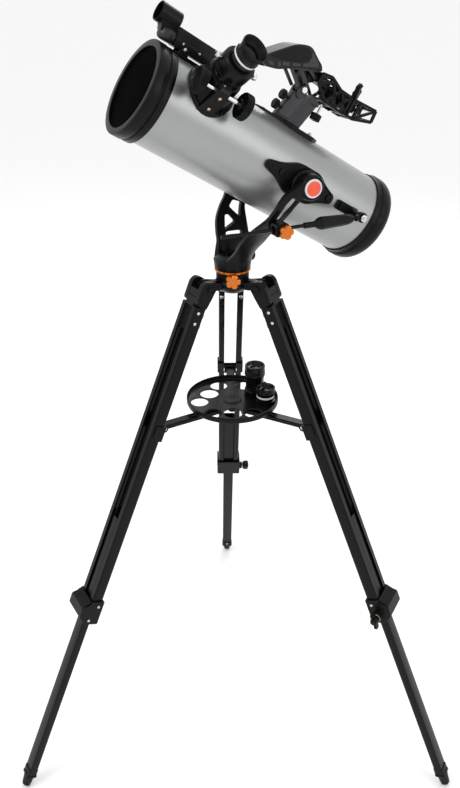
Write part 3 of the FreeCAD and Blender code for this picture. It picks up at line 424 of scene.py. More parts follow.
for name, bearing in BEARINGS.items():
    leg = leg_frame(bearing)
    body = "leg_" + name
    piece("rails_" + name, new(lambda bm: both(rail, bm)), leg, body, PAINT, "leg_rails_" + name, angle=25)
    bm = new(lambda b: both(top_cheek, b))
    block(bm, -10, 10.8, -12.6, 12.6, -36, -17)
    block(bm, 4.5, 10.8, -12.6, 12.6, -20, -6)
    piece("leg_top_" + name, bm, leg, body, PLASTIC, "leg_top_fitting_" + name, bevel=0.9,
        slot="black_plastic")
    for side in (-1, 1):
        for drop in (47, 66):
            head = leg @ shift(-DEPTH - 0.3, side * 17.6, -drop) @ rot(-90, "Y")
            screw_head("top_screw_%s_%d_%d" % (name, drop, side > 0), head, 3.6, 1.9, body, STEEL, "cross")
            rivet = leg @ shift(1.5, side * (HALF - 0.2), -drop + 4) @ rot(-90 * side, "X")
            screw_head("top_rivet_%s_%d_%d" % (name, drop, side > 0), rivet, 2.8, 1.4, body, STEEL, "cross")
    bm = new(lambda b: both(clamp_cheek, b))
    block(bm, -DEPTH - 3.4, -DEPTH - 0.2, -HALF - 2, HALF + 2, -CLAMP_END, -CLAMP_TOP)
    prism(bm, [(DEPTH + 0.3, -CLAMP_TOP), (DEPTH + 2.6, -CLAMP_TOP), (DEPTH + 17, -CLAMP_TOP - 13),
        (DEPTH + 17, -CLAMP_END + 16), (DEPTH + 2.6, -CLAMP_END), (DEPTH - 2, -CLAMP_END),
        (DEPTH + 12, -CLAMP_END + 14), (DEPTH + 12, -CLAMP_TOP - 15)], -HALF - 1, HALF + 1)
    for low, high in ((-HALF - 1, -11), (11, HALF + 1)):
        block(bm, -DEPTH - 1, DEPTH + 1, low, high, -CLAMP_END, -645)
    spin(bm, [(9.5, 0), (9.5, 1), (8.4, 2), (8, 6), (3.3, 6), (3.3, 0)],
        shift(0, -HALF - 3, -SCREW_AT) @ ALONG_NEAR, 48)
    piece("clamp_" + name, bm, leg, body, PLASTIC, "leg_clamp_" + name, bevel=0.8, slot="black_plastic")
    for side in (-1, 1):
        for drop in (628, 658):
            rivet = leg @ shift(-4 if drop < 640 else 7, side * (HALF + 3.4), -drop) @ rot(-90 * side, "X")
            if side > 0 or drop < 640:
                screw_head("clamp_rivet_%s_%d_%d" % (name, drop, side > 0), rivet, 2.6, 1.3, body, STEEL,
                    "cross")

    knob = leg @ shift(0, -HALF - 9.3, -SCREW_AT) @ ALONG_NEAR
    knob_body = "leg_knob_" + name
    bm = new(lambda b: spin(b, [(3, -20), (3, 2), (7.2, 2), (8, 3), (8, 8), (6.6, 12), (6.4, 15), (5, 16),
        (0, 16.2)], segments=48))
    for side in (-1, 1):
        wing = rounded([(side * 2, 3), (side * 13, 2.5), (side * 16, 6), (side * 15.5, 14),
            (side * 11, 15.5), (side * 3, 9)], 3)
        prism(bm, wing, -2.6, 2.6, rot(90, "Z") @ Matrix(), "xz")
    piece("wing_knob_" + name, bm, knob, knob_body, PLASTIC, "leg_knob_" + name, bevel=1.1,
        slot="black_plastic")
    turned("knob_washer_" + name, [(3.2, 0.1), (8.4, 0.1), (8.7, 0.5), (8.7, 1.2), (8.3, 1.6), (3.2, 1.6)],
        knob, knob_body, BRASS, around=48, loop=True)

    slider_body = "slider_" + name
    end = LEG_LENGTH - FOOT_LENGTH
    outer = rounded([(-8, -11.7), (8, -11.7), (8, 11.7), (-8, 11.7)], 2, 3)
    bm = new(lambda b: prism(b, outer, -end, -SLIDER_TOP, Matrix(), "xy"))
    well = bmesh.new()
    prism(well, rounded([(-6.4, -8.9), (6.4, -8.9), (6.4, 8.9), (-6.4, 8.9)], 1.2, 2), -SLIDER_TOP - 30,
        -SLIDER_TOP + 5, Matrix(), "xy")
    piece("slider_" + name, carve(bm, well), leg, slider_body, PAINT, "leg_slider_" + name, angle=30)
    bm = bmesh.new()
    collar = rounded([(-9.6, -12.1), (9.6, -12.1), (9.6, 12.1), (-9.6, 12.1)], 3, 3)
    prism(bm, collar, -end - 14, -end + 1, Matrix(), "xy")
    prism(bm, scaled(collar, 1.08, (0, 0)), -end - 17, -end - 13, Matrix(), "xy")
    spin(bm, [(0, -end - 10), (11.3, -end - 10), (11.3, -end - 18), (10.4, -end - 21), (9.4, -end - 34),
        (8.6, -end - 40), (5, -end - 43.4), (0, -end - 44.4)], segments=48)
    piece("foot_" + name, bm, leg, slider_body, RUBBER, bevel=0.6, slot="black_plastic")
    for drop in (4.5, 10.5):
        rivet = leg @ shift(-9.6, 0, -end - drop) @ rot(-90, "Y")
        screw_head("foot_rivet_%s_%d" % (name, drop), rivet, 2.3, 1.0, slider_body, STEEL, "cross")

    bm = new(lambda b: both(bracket_cheek, b))
    block(bm, -14, -11.2, -HALF - 2.4, HALF + 2.4, -283, -254)
    piece("bracket_" + name, bm, leg, body, PLASTIC, "spreader_bracket_" + name, bevel=0.7,
        slot="black_plastic")
    for side in (-1, 1):
        pin = leg @ shift(-21.5, side * 11.2, -263) @ rot(-90 * side, "X")
        screw_head("bracket_pin_%s_%d" % (name, side > 0), pin, 3.6, 2.0, body, STEEL, "cross")

    # spreader arm: pressed channel with a long slot
    inset = -21.5 + LEG_OFFSET
    splay = math.radians(SPLAY)
    outer_r = HINGE_RADIUS + 263 * math.sin(splay) + inset * math.cos(splay)
    outer_z = HINGE_HEIGHT - 263 * math.cos(splay) + inset * math.sin(splay)
    length = math.hypot(outer_r - 28, 737.5 - outer_z)
    slope = math.degrees(math.atan2(737.5 - outer_z, outer_r - 28))
    arm = AXIS @ rot(bearing, "Z") @ shift(outer_r, 0, outer_z) @ rot(slope, "Y") @ rot(180, "Z")
    bm = bmesh.new()
    top = rounded([(-5, -7.9), (length + 3.5, -7.9), (length + 3.5, 7.9), (-5, 7.9)], 3, 4)
    prism(bm, top, 2.3, 4, Matrix(), "xy")
    for side in (-1, 1):
        low, high = sorted((side * 6.3, side * 7.9))
        wall = rounded([(-5, 4), (length + 3, 4), (length + 3, -3), (length - 8, -4), (8, -4), (-5, -3.5)],
            1.5)
        prism(bm, wall, low, high, Matrix(), "xz")
    slot_cut = bmesh.new()
    prism(slot_cut, rounded([(length * 0.50, -3), (length * 0.74, -3), (length * 0.74, 3),
        (length * 0.50, 3)], 3, 5), -6, 6, Matrix(), "xy")
    piece("arm_" + name, carve(bm, slot_cut), arm, "arm_" + name, PAINT, "spreader_arm_" + name, angle=30,
        slot="black_steel")


# ---- tray ----------------------------------------------------------------------------------------
TRAY = 748.0
hub_ears = bmesh.new()
spin(hub_ears, [(0, TRAY - 20), (7, TRAY - 20), (8, TRAY - 19), (8, TRAY - 4), (22, TRAY - 2.5),
    (24, TRAY - 0.2), (0, TRAY - 0.2)], segments=64)
for bearing in BEARINGS.values():
    turn = rot(bearing, "Z")
    block(hub_ears, 6, 36, -11, 11, TRAY - 2.4, TRAY - 0.2, turn)
    for side in (-1, 1):
        low, high = sorted((side * 9, side * 11))
        ear = rounded([(21, TRAY - 1), (36, TRAY - 1), (36, TRAY - 12), (31, TRAY - 16.4),
            (25, TRAY - 16.4)], 4)
        prism(hub_ears, ear, low, high, turn, "xz")
piece("tray_hub", hub_ears, AXIS, "tray", PLASTIC, "spreader_hub", bevel=0.5, slot="black_plastic")

tray = bmesh.new()
spin(tray, [(0, TRAY), (81.5, TRAY), (83.6, TRAY + 0.6), (84.5, TRAY + 2.4), (84.5, TRAY + 9.8),
    (84, TRAY + 10.8), (83, TRAY + 11), (82.3, TRAY + 10.6), (82, TRAY + 9.6), (81.8, TRAY + 4.5),
    (80.6, TRAY + 2.8), (79, TRAY + 2.4), (17.6, TRAY + 2.4), (17, TRAY + 3.2), (16, TRAY + 3.8),
    (14.4, TRAY + 3.8), (13.6, TRAY + 3.2), (12.6, TRAY + 3.2), (11.8, TRAY + 3.8), (6.4, TRAY + 3.8),
    (5.6, TRAY + 3.2), (0, TRAY + 3.2)], segments=180)
holes = bmesh.new()
for bearing in BEARINGS.values():
    for side, radius in ((-1, 16.2), (0, 17.2), (1, 16.2)):
        spin(holes, [(0, TRAY - 5), (radius, TRAY - 5), (radius, TRAY + 5), (0, TRAY + 5)],
            rot(bearing + 60, "Z") @ shift(49, side * 36, 0), 72)
piece("tray", carve(tray, holes), AXIS, "tray", PLASTIC, "accessory_tray", angle=30, slot="black_plastic")


def spare(name, side, height, shoulder, body, banded):
    """Spare eyepiece in a tray hole: chrome barrel, ringed body and a flared top with a sunken lens."""
    base = TRAY + 2.5
    where = AXIS @ rot(30, "Z") @ shift(49, side * 36, base)
    waist = shoulder - 2.2
    turned(name + "_barrel", [(13.8, -22), (15.3, -22), (15.85, -21.4), (15.85, -12), (15.3, -11.4),
        (15.3, -7.6), (15.85, -7), (15.85, 0), (13.8, 0)], where, body, CHROME, name, around=96, loop=True,
        slot="gloss_black")
    body_rings = [(13, 0), (shoulder - 1, 0), (shoulder - 0.2, 0.7), (shoulder - 0.2, height * 0.16),
        (waist, height * 0.18), (waist, height * 0.24), (waist - 0.7, height * 0.25),
        (waist - 0.7, height * 0.29), (waist, height * 0.30), (waist, height * 0.52),
        (waist + 0.5, height * 0.56), (shoulder - 0.8, height * 0.64), (shoulder, height * 0.68)]
    grip = [(shoulder, height * 0.70, -0.5), (shoulder, height * 0.82, -0.5), (shoulder, height * 0.84)]
    cup = [(shoulder - 0.4, height * 0.88), (shoulder - 0.2, height * 0.97), (shoulder - 1.4, height),
        (shoulder - 3.2, height - 0.2), (shoulder - 4.6, height - 2), (shoulder - 6, height - 5.5),
        (shoulder - 9.4, height - 6.4), (shoulder - 9.8, height - 7.2)]
    turned(name + "_body", body_rings + grip + cup, where, body, GLOSS, around=192, wave=ribs(48), angle=30,
        slot="gloss_black")
    turned(name + "_lens", [(shoulder - 9.6, height - 7), (6, height - 6.2), (3, height - 5.7),
        (0, height - 5.6)], where, body, LENS, around=48)
    if banded:
        turned(name + "_band", [(waist + 0.15, height * 0.34), (waist + 0.3, height * 0.35),
            (waist + 0.3, height * 0.46), (waist + 0.15, height * 0.47)], where, body, WHITE, around=96)


spare("spare_eyepiece_tall", 0, 60.0, 19.0, "spare_tall", False)
spare("spare_eyepiece_short", -1, 30.0, 18.0, "spare_short", True)


# ---- azimuth head --------------------------------------------------------------------------------
LOCK = 997.0
head = bmesh.new()
spin(head, [(0, 966.5), (10, 966.5), (12, 968), (18, 968.4), (24.6, 973.5), (29.5, 979), (30.4, 981),
    (30.4, 986), (28.6, 989.4), (27.4, 990.4)], segments=160)
spin(head, [(27.4, 990.2), (27.4, 991.2), (27.6, 991.8, 0.5), (27.6, 1003.8, 0.5), (27.2, 1004.6),
    (27.2, 1005.6), (8.2, 1005.6)], segments=360, wave=ribs(60))
for bearing in BEARINGS.values():
    turn = rot(bearing, "Z")
    web = rounded([(18, 975), (30, 974), (50, 977), (58, 980), (58, 990), (46, 993), (18, 992)], 4)
    prism(head, web, -5, 5, turn, "xz")
    for side in (-1, 1):
        low, high = sorted((side * 6.5, side * 12))
        cheek = rounded([(16, 978), (44, 978), (54, 977), (64, 981), (65.5, 988), (60, 995), (50, 995),
            (30, 990), (16, 990)], 4)
        prism(head, cheek, low, high, turn, "xz")
    prism(head, [(14, -11.5), (60, -11.5), (60, 11.5), (14, 11.5)], 980.5, 985.5, turn, "xy")
piece("hub_casting", head, AXIS, "head", CASTING, "hub_casting", bevel=0.7, slot="black_casting")
turned("azimuth_ring", [(9, 1005.8), (30.4, 1005.8), (31, 1006.4), (31, 1008.8), (30.4, 1009.4),
    (9, 1009.4)], AXIS, "head", ORANGE, "azimuth_ring", around=160, loop=True, slot="orange_plastic")
for name, bearing in BEARINGS.items():
    for side in (-1, 1):
        where = AXIS @ rot(bearing, "Z") @ shift(HINGE_RADIUS, side * 23.2, HINGE_HEIGHT) @ rot(-90 * side,
            "X")
        bm = new(lambda b: spin(b, [(7.6, 0), (8.4, 0.3), (8.4, 1.1), (7.2, 1.5), (7.2, 3.6), (6.6, 4.3),
            (3.9, 4.3, 0), (3.6, 3.1), (0, 2.9)], segments=48))
        piece("hinge_bolt_%s_%d" % (name, side > 0), bm, where, "head", PLASTIC,
            ("leg_hinge_bolts",) if name == "rear" and side > 0 else (), slot="black_steel")
    shank = new(lambda b: spin(b, [(0, -23.4), (4, -23.4), (4, 23.4), (0, 23.4)], segments=32))
    piece("hinge_shank_" + name, shank, AXIS @ rot(bearing, "Z") @ shift(HINGE_RADIUS, 0,
        HINGE_HEIGHT) @ ALONG_NEAR, "head", STEEL)

lock = AXIS @ shift(0, -32, LOCK) @ ALONG_NEAR
star_knob("azimuth_lock_knob", lock, 5, 13, 9.4, "azimuth_lock", ORANGE, "azimuth_lock_knob")
turned("azimuth_lock_stem", [(0, -12), (3.4, -12), (3.4, -3.4), (6, -3), (6, 0.4), (0, 0.4)], lock,
    "azimuth_lock", STEEL, around=48)


# ---- yoke ----------------------------------------------------------------------------------------
BOWL = [(1011.5, 30.0), (1018, 31.0), (1030, 33.5), (1045, 40.0), (1060, 50.0), (1075, 61.0), (1090, 73.0),
    (1105, 84.0), (1120, 93.0), (1135, 99.0), (1150, 103.0), (1180, 104.0)]
NEAR_FRONT = [(1011.5, -30), (1022, -27), (1034, -20), (1047, -13), (1059, -11), (1078, -5), (1096, 8),
    (1110, 21), (1125, 29), (1144, 38), (1153, 46), (1160, 60), (1170, 76), (1180, 84)]
NEAR_REAR = [(1011.5, 30), (1022, 31), (1034, 33), (1048, 36), (1062, 38), (1075, 39), (1090, 43),
    (1106, 50), (1120, 57), (1134, 66), (1144, 76), (1150, 87), (1156, 98), (1162, 103), (1170, 104),
    (1180, 98)]
FRONT = [(1011.5, -30), (1022, -27), (1034, -20), (1047, -13), (1059, -11), (1078, -5), (1096, 8),
    (1110, 21), (1125, 29), (1144, 36), (1158, 45), (1180, 66)]
REAR = [(1011.5, 30), (1022, 31), (1036, 34), (1050, 42), (1062, 46), (1075, 49), (1090, 53), (1106, 62),
    (1120, 74), (1135, 92), (1148, 104), (1160, 108), (1180, 102)]


def smooth_at(table, height):
    """Cubic interpolation through a table of (height, value)."""
    i = max(k for k in range(len(table) - 1) if table[k][0] <= height or k == 0)
    (h1, v1), (h2, v2) = table[i], table[i + 1]
    h0, v0 = table[i - 1] if i else (2 * h1 - h2, 2 * v1 - v2)
    h3, v3 = table[i + 2] if i + 2 < len(table) else (2 * h2 - h1, 2 * v2 - v1)
    t = (height - h1) / (h2 - h1)
    m1 = (v2 - v0) / (h2 - h0) * (h2 - h1)
    m2 = (v3 - v1) / (h3 - h1) * (h2 - h1)
    return ((2 * t ** 3 - 3 * t * t + 1) * v1 + (t ** 3 - 2 * t * t + t) * m1
        + (3 * t * t - 2 * t ** 3) * v2 + (t ** 3 - t * t) * m2)


def yoke_arm(bm, side, wall=7.0, levels=72, steps=30):
    """One swept-back arm as a closed curved wall between its front and rear edges."""
    front_edge, rear_edge = (NEAR_FRONT, NEAR_REAR) if side < 0 else (FRONT, REAR)
    skins = []
    for inset in (0, wall):
        rows = []
        for i in range(levels + 1):
            z = 1013 + 161 * i / levels
            radius = smooth_at(BOWL, z)
            front = max(smooth_at(front_edge, z), -radius)
            rear = min(smooth_at(rear_edge, z), radius)
            row = []
            for k in range(steps + 1):
                w = front + (rear - front) * k / steps
                flat = min(1, max(0, (z - 1030) / 60))
                bow = radius - 0.0016 * (w - (front + rear) / 2) ** 2
                y = flat * bow + (1 - flat) * math.sqrt(max(radius * radius - w * w, 0))
                row.append(bm.verts.new((w * (1 - (1 - flat) * inset / radius), side * max(y - inset, 0.02),
                    z + inset * 0.25)))
            rows.append(row)
        skins.append(rows)
    outer, inner = skins
    for i in range(levels):
        for k in range(steps):
            bm.faces.new([outer[i][k], outer[i][k + 1], outer[i + 1][k + 1], outer[i + 1][k]])
            bm.faces.new([inner[i][k], inner[i + 1][k], inner[i + 1][k + 1], inner[i][k + 1]])
        for k in (0, steps):
            bm.faces.new([outer[i][k], outer[i + 1][k], inner[i + 1][k], inner[i][k]])
    for i in (0, levels):
        for k in range(steps):
            bm.faces.new([outer[i][k], outer[i][k + 1], inner[i][k + 1], inner[i][k]])


WINDOWS = [[(24, 1095), (34, 1104), (49, 1099), (38, 1079)], [(12, 1084), (19, 1084), (27, 1072),
    (5, 1062)], [(6, 1059.5), (32, 1061), (32, 1054), (4, 1053)]]
UPPER_WINDOW = [(47, 1120), (50, 1141), (68, 1143), (62, 1130)]
NEAR_SLOT = [(35, 1108), (38, 1120), (46, 1137), (56, 1148), (66, 1142), (58, 1131), (50, 1121), (45, 1109)]
for side in (-1, 1):
    arm_mesh = bmesh.new()
    yoke_arm(arm_mesh, side)
    cutter = bmesh.new()
    for window in [NEAR_SLOT] if side < 0 else WINDOWS + [UPPER_WINDOW]:
        low, high = sorted((side * 12, side * 140))
        prism(cutter, rounded(window, 3), low, high)
    label = "near" if side < 0 else "far"
    piece("yoke_arm_" + label, carve(arm_mesh, cutter), YOKE, "yoke", CASTING,
        ("yoke",) if side < 0 else (), bevel=0.8, angle=45, slot="black_casting")
    boss = YOKE @ shift(PIVOT_REACH, side * 81.8, PIVOT_HEIGHT) @ rot(-90 * side, "X")
    turned("yoke_boss_" + label, [(8.2, 0), (19.5, 0), (20.4, 1), (20.8, 4), (20.8, 17.5), (20.2, 20.4),
        (18.6, 22.2), (16.4, 22.2), (15.6, 21.2), (8.2, 21.2)], boss, "yoke", CASTING, around=96, loop=True,
        slot="black_casting")
    cap = YOKE @ shift(PIVOT_REACH, side * 103.2, PIVOT_HEIGHT) @ rot(-90 * side, "X")
    turned("pivot_cap_" + label, [(14.6, 0), (15, 1.8), (14.4, 3), (13.8, 3.3), (13.4, 3.0), (0, 3.0)], cap,
        "yoke", WHITE, ("altitude_pivots",) if side < 0 else (), around=96, slot="orange_plastic")
    turned("pivot_disc_" + label, [(11.8, 2.8), (11.8, 3.3), (11.2, 3.6), (0, 3.9)], cap, "yoke", RED,
        around=96)
    turned("pivot_pin_" + label, [(0, -31), (6.6, -31), (8, -29.8), (8, 0.4), (0, 0.4)], cap, "yoke", STEEL,
        around=64)
floor_mesh = bmesh.new()
spin(floor_mesh, [(8.3, 1009.9), (29.6, 1009.9), (30.6, 1010.8), (31, 1013), (31.6, 1018), (32.6, 1026),
    (24, 1031.5), (8.3, 1031.5)], segments=128, loop=True)
piece("yoke_base", floor_mesh, YOKE, "yoke", CASTING, bevel=0.4, slot="black_casting")
turned("yoke_side_cap", [(0, -4), (10, -4), (10.6, -3.2), (10.6, 9.4), (9.8, 10.6), (7, 11), (0, 11.2)],
    YOKE @ shift(31, 8, 1024) @ rot(16, "Z") @ ALONG_X, "yoke", PLASTIC, around=64, slot="black_casting")
turned("rod_post", [(0, -8), (9, -8), (8.4, 2), (7.2, 4), (7, 14.4), (0, 14.4)],
    YOKE @ shift(34, -80.4, 1101) @ ALONG_NEAR, "yoke", CASTING, around=64, slot="black_casting")


# ---- altitude rod --------------------------------------------------------------------------------
SIDE = 104.0
clamp_mesh = bmesh.new()
prism(clamp_mesh, rounded([(-12, -10), (12, -10), (12, 10), (-12, 10)], 5, 6), -9.2, 8.4)
eye = bmesh.new()
spin(eye, [(0, -20), (6.4, -20), (6.4, 20), (0, 20)], ALONG_X, 48)
piece("rod_clamp_block", carve(clamp_mesh, eye), YOKE @ shift(34, -SIDE, 1101), "rod_clamp", CASTING,
    "rod_clamp", bevel=0.7, slot="black_plastic")
knob = YOKE @ shift(38, -SIDE - 9.5, 1099) @ ALONG_NEAR
star_knob("rod_clamp_knob", knob, 5, 12, 9.2, "rod_knob", ORANGE, "rod_clamp_knob")
rod_frame = YOKE @ shift(0, -SIDE, 1101)
rod_mesh = bmesh.new()
spin(rod_mesh, [(0, -67), (2.2, -67), (3, -66), (3, 174), (0, 174)], ALONG_X, 32)
spin(rod_mesh, [(4.6, 170), (5.4, 171), (5.4, 176), (3, 177)], ALONG_X, 32)
spin(rod_mesh, [(3.1, -4), (8, -4), (8.4, -3.4), (8.4, 3.4), (8, 4), (3.1, 4)],
    shift(182, 0, 0) @ ALONG_NEAR, 48, loop=True)
piece("altitude_rod", rod_mesh, rod_frame, "rod", PAINT, "altitude_rod", slot="black_steel")

grip_mesh = bmesh.new()
rings = [(3.1, 76), (4.4, 76), (4.8, 76.6), (4.8, 94), (5.8, 97), (8.6, 101), (10.2, 106)]
for k in range(25):
    reach = k / 24
    rings.append((10.6 - 1.8 * reach, 107 + 46 * reach, -1.1 * math.sin(math.pi * reach) ** 0.5))
rings += [(8.4, 155), (7.4, 160), (6.2, 163.6), (5, 165), (3.1, 165)]
spin(grip_mesh, rings, ALONG_X, 144, wave=ribs(8))
piece("altitude_grip", grip_mesh, rod_frame, "grip", RUBBER, "altitude_grip", angle=60, slot="rubber")


# ---- optical tube --------------------------------------------------------------------------------
def tube_cutter(radius, start, end):
    """The space that the optical tube fills."""
    cutter = bmesh.new()
    spin(cutter, [(0, start), (radius, start), (radius, end), (0, end)], ALONG_X, 192)
    return cutter


shell = bmesh.new()
spin(shell, [(68.4, 6), (70, 6), (70, 40), (70, 160), (70, 300), (70, 430), (70, 470), (68.4, 470)],
    ALONG_X, 256, loop=True)
for face in shell.faces:
    middle = face.calc_center_median()
    face.material_index = 0 if math.hypot(middle.y, middle.z) > 69.5 else 1
port = bmesh.new()
spin(port, [(0, 40), (24, 40), (24, 90), (0, 90)], shift(92, 0, 0) @ rot(45, "X"), 96, mat=1)
piece("tube_shell", carve(shell, port), TUBE, "tube", [SILVER, TUBE_INSIDE], "tube_shell", angle=30,
    slot="silver_paint")

turned("front_ring", [(69.9, 31.8), (69.9, 6), (64.6, 5.9), (64.1, 5.2), (64.1, 0.8), (64.8, 0.1),
    (72.6, 0), (74.2, 0.5), (74.9, 1.8), (75, 15.6), (74.4, 17), (73, 17.6), (72.6, 18.2), (72.6, 19.8),
    (73.4, 20.4), (74.2, 21), (74.4, 22), (74.4, 30.4), (73.8, 31.6), (72.8, 32)], TUBE, "tube", PLASTIC,
    "front_ring", turn=ALONG_X, around=256, loop=True, angle=32, slot="black_plastic")
latch = bmesh.new()
prism(latch, rounded([(-5, -6), (5, -6), (5, 6), (-5, 6)], 2), 74.6, 76, Matrix(), "xy")
piece("front_ring_tab", latch, TUBE @ shift(9, 0, 0) @ rot(-28, "X"), "tube", PLASTIC, bevel=0.5,
    slot="black_plastic")
turned("rear_ring", [(69.9, 449.4), (71.8, 449), (72.4, 449.8), (72.5, 458), (73, 459.2), (74.6, 460.2),
    (75.4, 461.8), (75.5, 472), (74.9, 476), (73.4, 480), (71, 483.6), (68, 486), (64.4, 487), (59, 487),
    (58, 485.8), (50, 485.8), (49, 487), (14, 487), (13, 486), (0, 486), (0, 484), (66, 484), (66, 470),
    (69.9, 470)], TUBE, "tube", PLASTIC, "rear_ring", turn=ALONG_X, around=256, angle=32,
    slot="black_plastic")
for i in range(3):
    where = TUBE @ rot(120 * i, "X") @ shift(486.6, 0, 40) @ ALONG_X
    turned("collimation_screw_%d" % i, [(0, -24), (2.9, -24), (2.9, 2), (6, 2.4), (7.2, 3, 0),
        (6.7, 3.6, 0.7), (6.7, 9.6, 0.7), (6.4, 10.6), (5, 11.2), (0, 11.2)], where, "tube", STEEL,
        ("collimation_screws",) if i == 0 else (), around=144, wave=ribs(18), angle=30, slot="steel")
    lock_where = TUBE @ rot(120 * i + 40, "X") @ shift(486.4, 0, 40) @ ALONG_X
    screw_head("lock_screw_%d" % i, lock_where, 3.6, 2.2, "tube", STEEL, "cross")
    rim_where = TUBE @ rot(120 * i + 75, "X") @ shift(466.5, 0, 75.2)
    screw_head("rear_rim_screw_%d" % i, rim_where, 3.2, 1.4, "tube", PLASTIC, "cross")

# altitude plates: diamond with stepped ribs, bolts at the ends and a turned bearing face
DIAMOND = [(-78, -7), (-78, 7), (-50, 13), (-22, 27), (18, 27), (40, 14), (62, 7), (62, -7), (40, -14),
    (18, -26), (-22, -26), (-50, -13)]
for side in (-1, 1):
    label = "near" if side < 0 else "far"
    plate = bmesh.new()
    shape = rounded(DIAMOND, 8)
    for factor, low, high in ((1.0, 50, 72.4), (0.93, 60, 73.4)):
        prism(plate, scaled(shape, factor, (-6, 0)), low, high)
    for grown, shrunk in ((1.0, 0.93), (0.62, 0.57), (0.47, 0.42)):
        outer, inner = scaled(shape, grown, (-6, 0)), scaled(shape, shrunk, (-6, 0))
        count = len(shape)
        for i in range(count):
            j = (i + 1) % count
            quad = [outer[i], outer[j], inner[j], inner[i]]
            ends = [[plate.verts.new((a, level, b)) for a, b in quad] for level in (73.0, 75.6)]
            plate.faces.new(ends[1])
            for a, b in ((0, 1), (2, 3)):
                plate.faces.new([ends[0][a], ends[0][b], ends[1][b], ends[1][a]])
    mirror = TUBE @ shift(TUBE_PIVOT, 0, 0) @ (Matrix() if side > 0 else rot(180, "X"))
    bmesh.ops.remove_doubles(plate, verts=plate.verts, dist=0.01)
    piece("altitude_plate_" + label, plate, mirror, "tube", CASTING, ("altitude_plates",
        ) if side < 0 else (), slot="black_plastic")
    bearing_face = TUBE @ shift(TUBE_PIVOT, side * TUBE_RADIUS, 0) @ rot(-90 * side, "X")
    turned("altitude_bearing_" + label, [(8.4, 0), (25.2, 0), (24.6, 4), (24, 8.8), (23.2, 10.4),
        (21.6, 11.4), (19, 11.4), (18.4, 10.6), (12, 10.6), (11.4, 11.4), (8.4, 11.4)], bearing_face,
        "tube", PLASTIC, around=96, loop=True, slot="black_plastic")
    for along in (-69, 54):
        bolt = TUBE @ shift(TUBE_PIVOT + along, side * 75.2, 0) @ rot(-90 * side, "X")
        screw_head("plate_bolt_%s_%d" % (label, along > 0), bolt, 5.2, 1.6, "tube", PLASTIC, "hex")

# bracket that holds the rear end of the altitude rod
ROD_X, ROD_Z = 405.4, -0.7
bracket = bmesh.new()
foot = rounded([(ROD_X - 34, -8), (ROD_X - 8, -8), (ROD_X + 8, -9), (ROD_X + 11, -5), (ROD_X + 11, 5),
    (ROD_X + 8, 9), (ROD_X - 8, 8), (ROD_X - 34, 8)], 4)
prism(bracket, foot, -74, -55)
prism(bracket, scaled(foot, 0.8, (ROD_X - 12, 0)), -77, -73)
piece("rod_bracket", carve(bracket, tube_cutter(70.1, 300, 480)), TUBE, "tube", PLASTIC, "rod_bracket",
    bevel=1.0, slot="black_plastic")
post = TUBE @ shift(ROD_X, -76, ROD_Z) @ ALONG_NEAR
turned("rod_bracket_post", [(0, -3), (9, -3), (8.4, 1), (7.4, 4), (6.8, 8), (6.6, 20), (7.2, 21.5),
    (7.2, 23.4), (3, 23.6), (0, 23.6)], post, "tube", PLASTIC, around=64, slot="black_plastic")
turned("rod_bracket_nut", [(0, 20), (2.9, 20), (2.9, 32.4), (0.1, 32.4, 5.4), (0.4, 32.9, 5.6),
    (0.4, 36.4, 5.6), (0, 37, 5.3), (3.4, 37.2), (3, 38.6), (0, 38.8)], post, "tube", STEEL, around=96,
    wave=hexagon)

# inside of the tube
nodes = frame["nodes"]


def dress(name, mat):
    """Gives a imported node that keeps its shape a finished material."""
    for slot_index in range(len(nodes[name].material_slots)):
        nodes[name].material_slots[slot_index].material = mat


dress("spider", STEEL)
dress("secondary_mirror", MIRROR)
dress("primary_mirror", MIRROR)
dress("mirror_cell", CASTING)
dress("azimuth_spindle", STEEL)
turned("secondary_holder_cap", [(0, 58.4), (4, 58.4), (8.4, 59.2), (10.4, 61), (11, 63.4), (11, 66),
    (0, 66)], TUBE, "tube", GREY, turn=ALONG_X, around=64)


# ---- focuser -------------------------------------------------------------------------------------
PINION_Y, PINION_Z = -29.3, 100.0
focuser = bmesh.new()
spin(focuser, [(24, 70.3, 0, 1), (39.6, 70.3, 0, 1), (40, 71, 0, 1), (40, 74.2, 0, 1), (39.4, 75, 0, 1),
    (37, 75.1, 0, 1), (36.4, 74.4, 0, 1), (34.6, 74.4, 0, 1), (33.6, 76, 0, 0.9), (32.6, 80, 0, 0.5),
    (31.4, 86, 0, 0.15), (30.4, 92), (29.6, 98), (29.2, 104), (28.6, 106.4), (27.4, 107.6), (25.6, 108),
    (23, 108), (22.4, 107.4), (22.4, 90)], segments=192)
piece("focuser_flange", focuser, FOCUS, "tube", PLASTIC, "focuser_body", angle=35, slot="black_plastic")
for x, y in ((26, 27), (-26, 27), (26, -27), (-26, -27)):
    lean = math.degrees(math.asin(y / 72.0))
    where = FOCUS @ shift(x, y, math.sqrt(TUBE_RADIUS ** 2 - y * y) + 4.2) @ rot(-lean, "X")
    screw_head("flange_screw_%d_%d" % (x > 0, y > 0), where, 3.8, 2.4, "tube", PLASTIC, "hex")
saddle = bmesh.new()
prism(saddle, rounded([(-15, 52), (11, 52), (9.4, 90), (7, 110.6), (-12, 110.6), (-13.4, 90)], 2.5), -38, -14)
prism(saddle, rounded([(-11, 60), (7, 60), (5, 107), (-9.6, 107)], 2), -38.8, -36)
inside = tube_cutter(70.2, -120, 120)
bmesh.ops.transform(inside, matrix=rot(-45, "X"), verts=inside.verts)
saddle = carve(saddle, inside)
bore = bmesh.new()
spin(bore, [(0, 40), (22.5, 40), (22.5, 130), (0, 130)], segments=96)
saddle = carve(saddle, bore)
piece("pinion_block", saddle, FOCUS, "tube", PLASTIC, bevel=0.9, slot="black_plastic")
cover = bmesh.new()
block(cover, -11, 4, -38, -27.4, 110, 116)
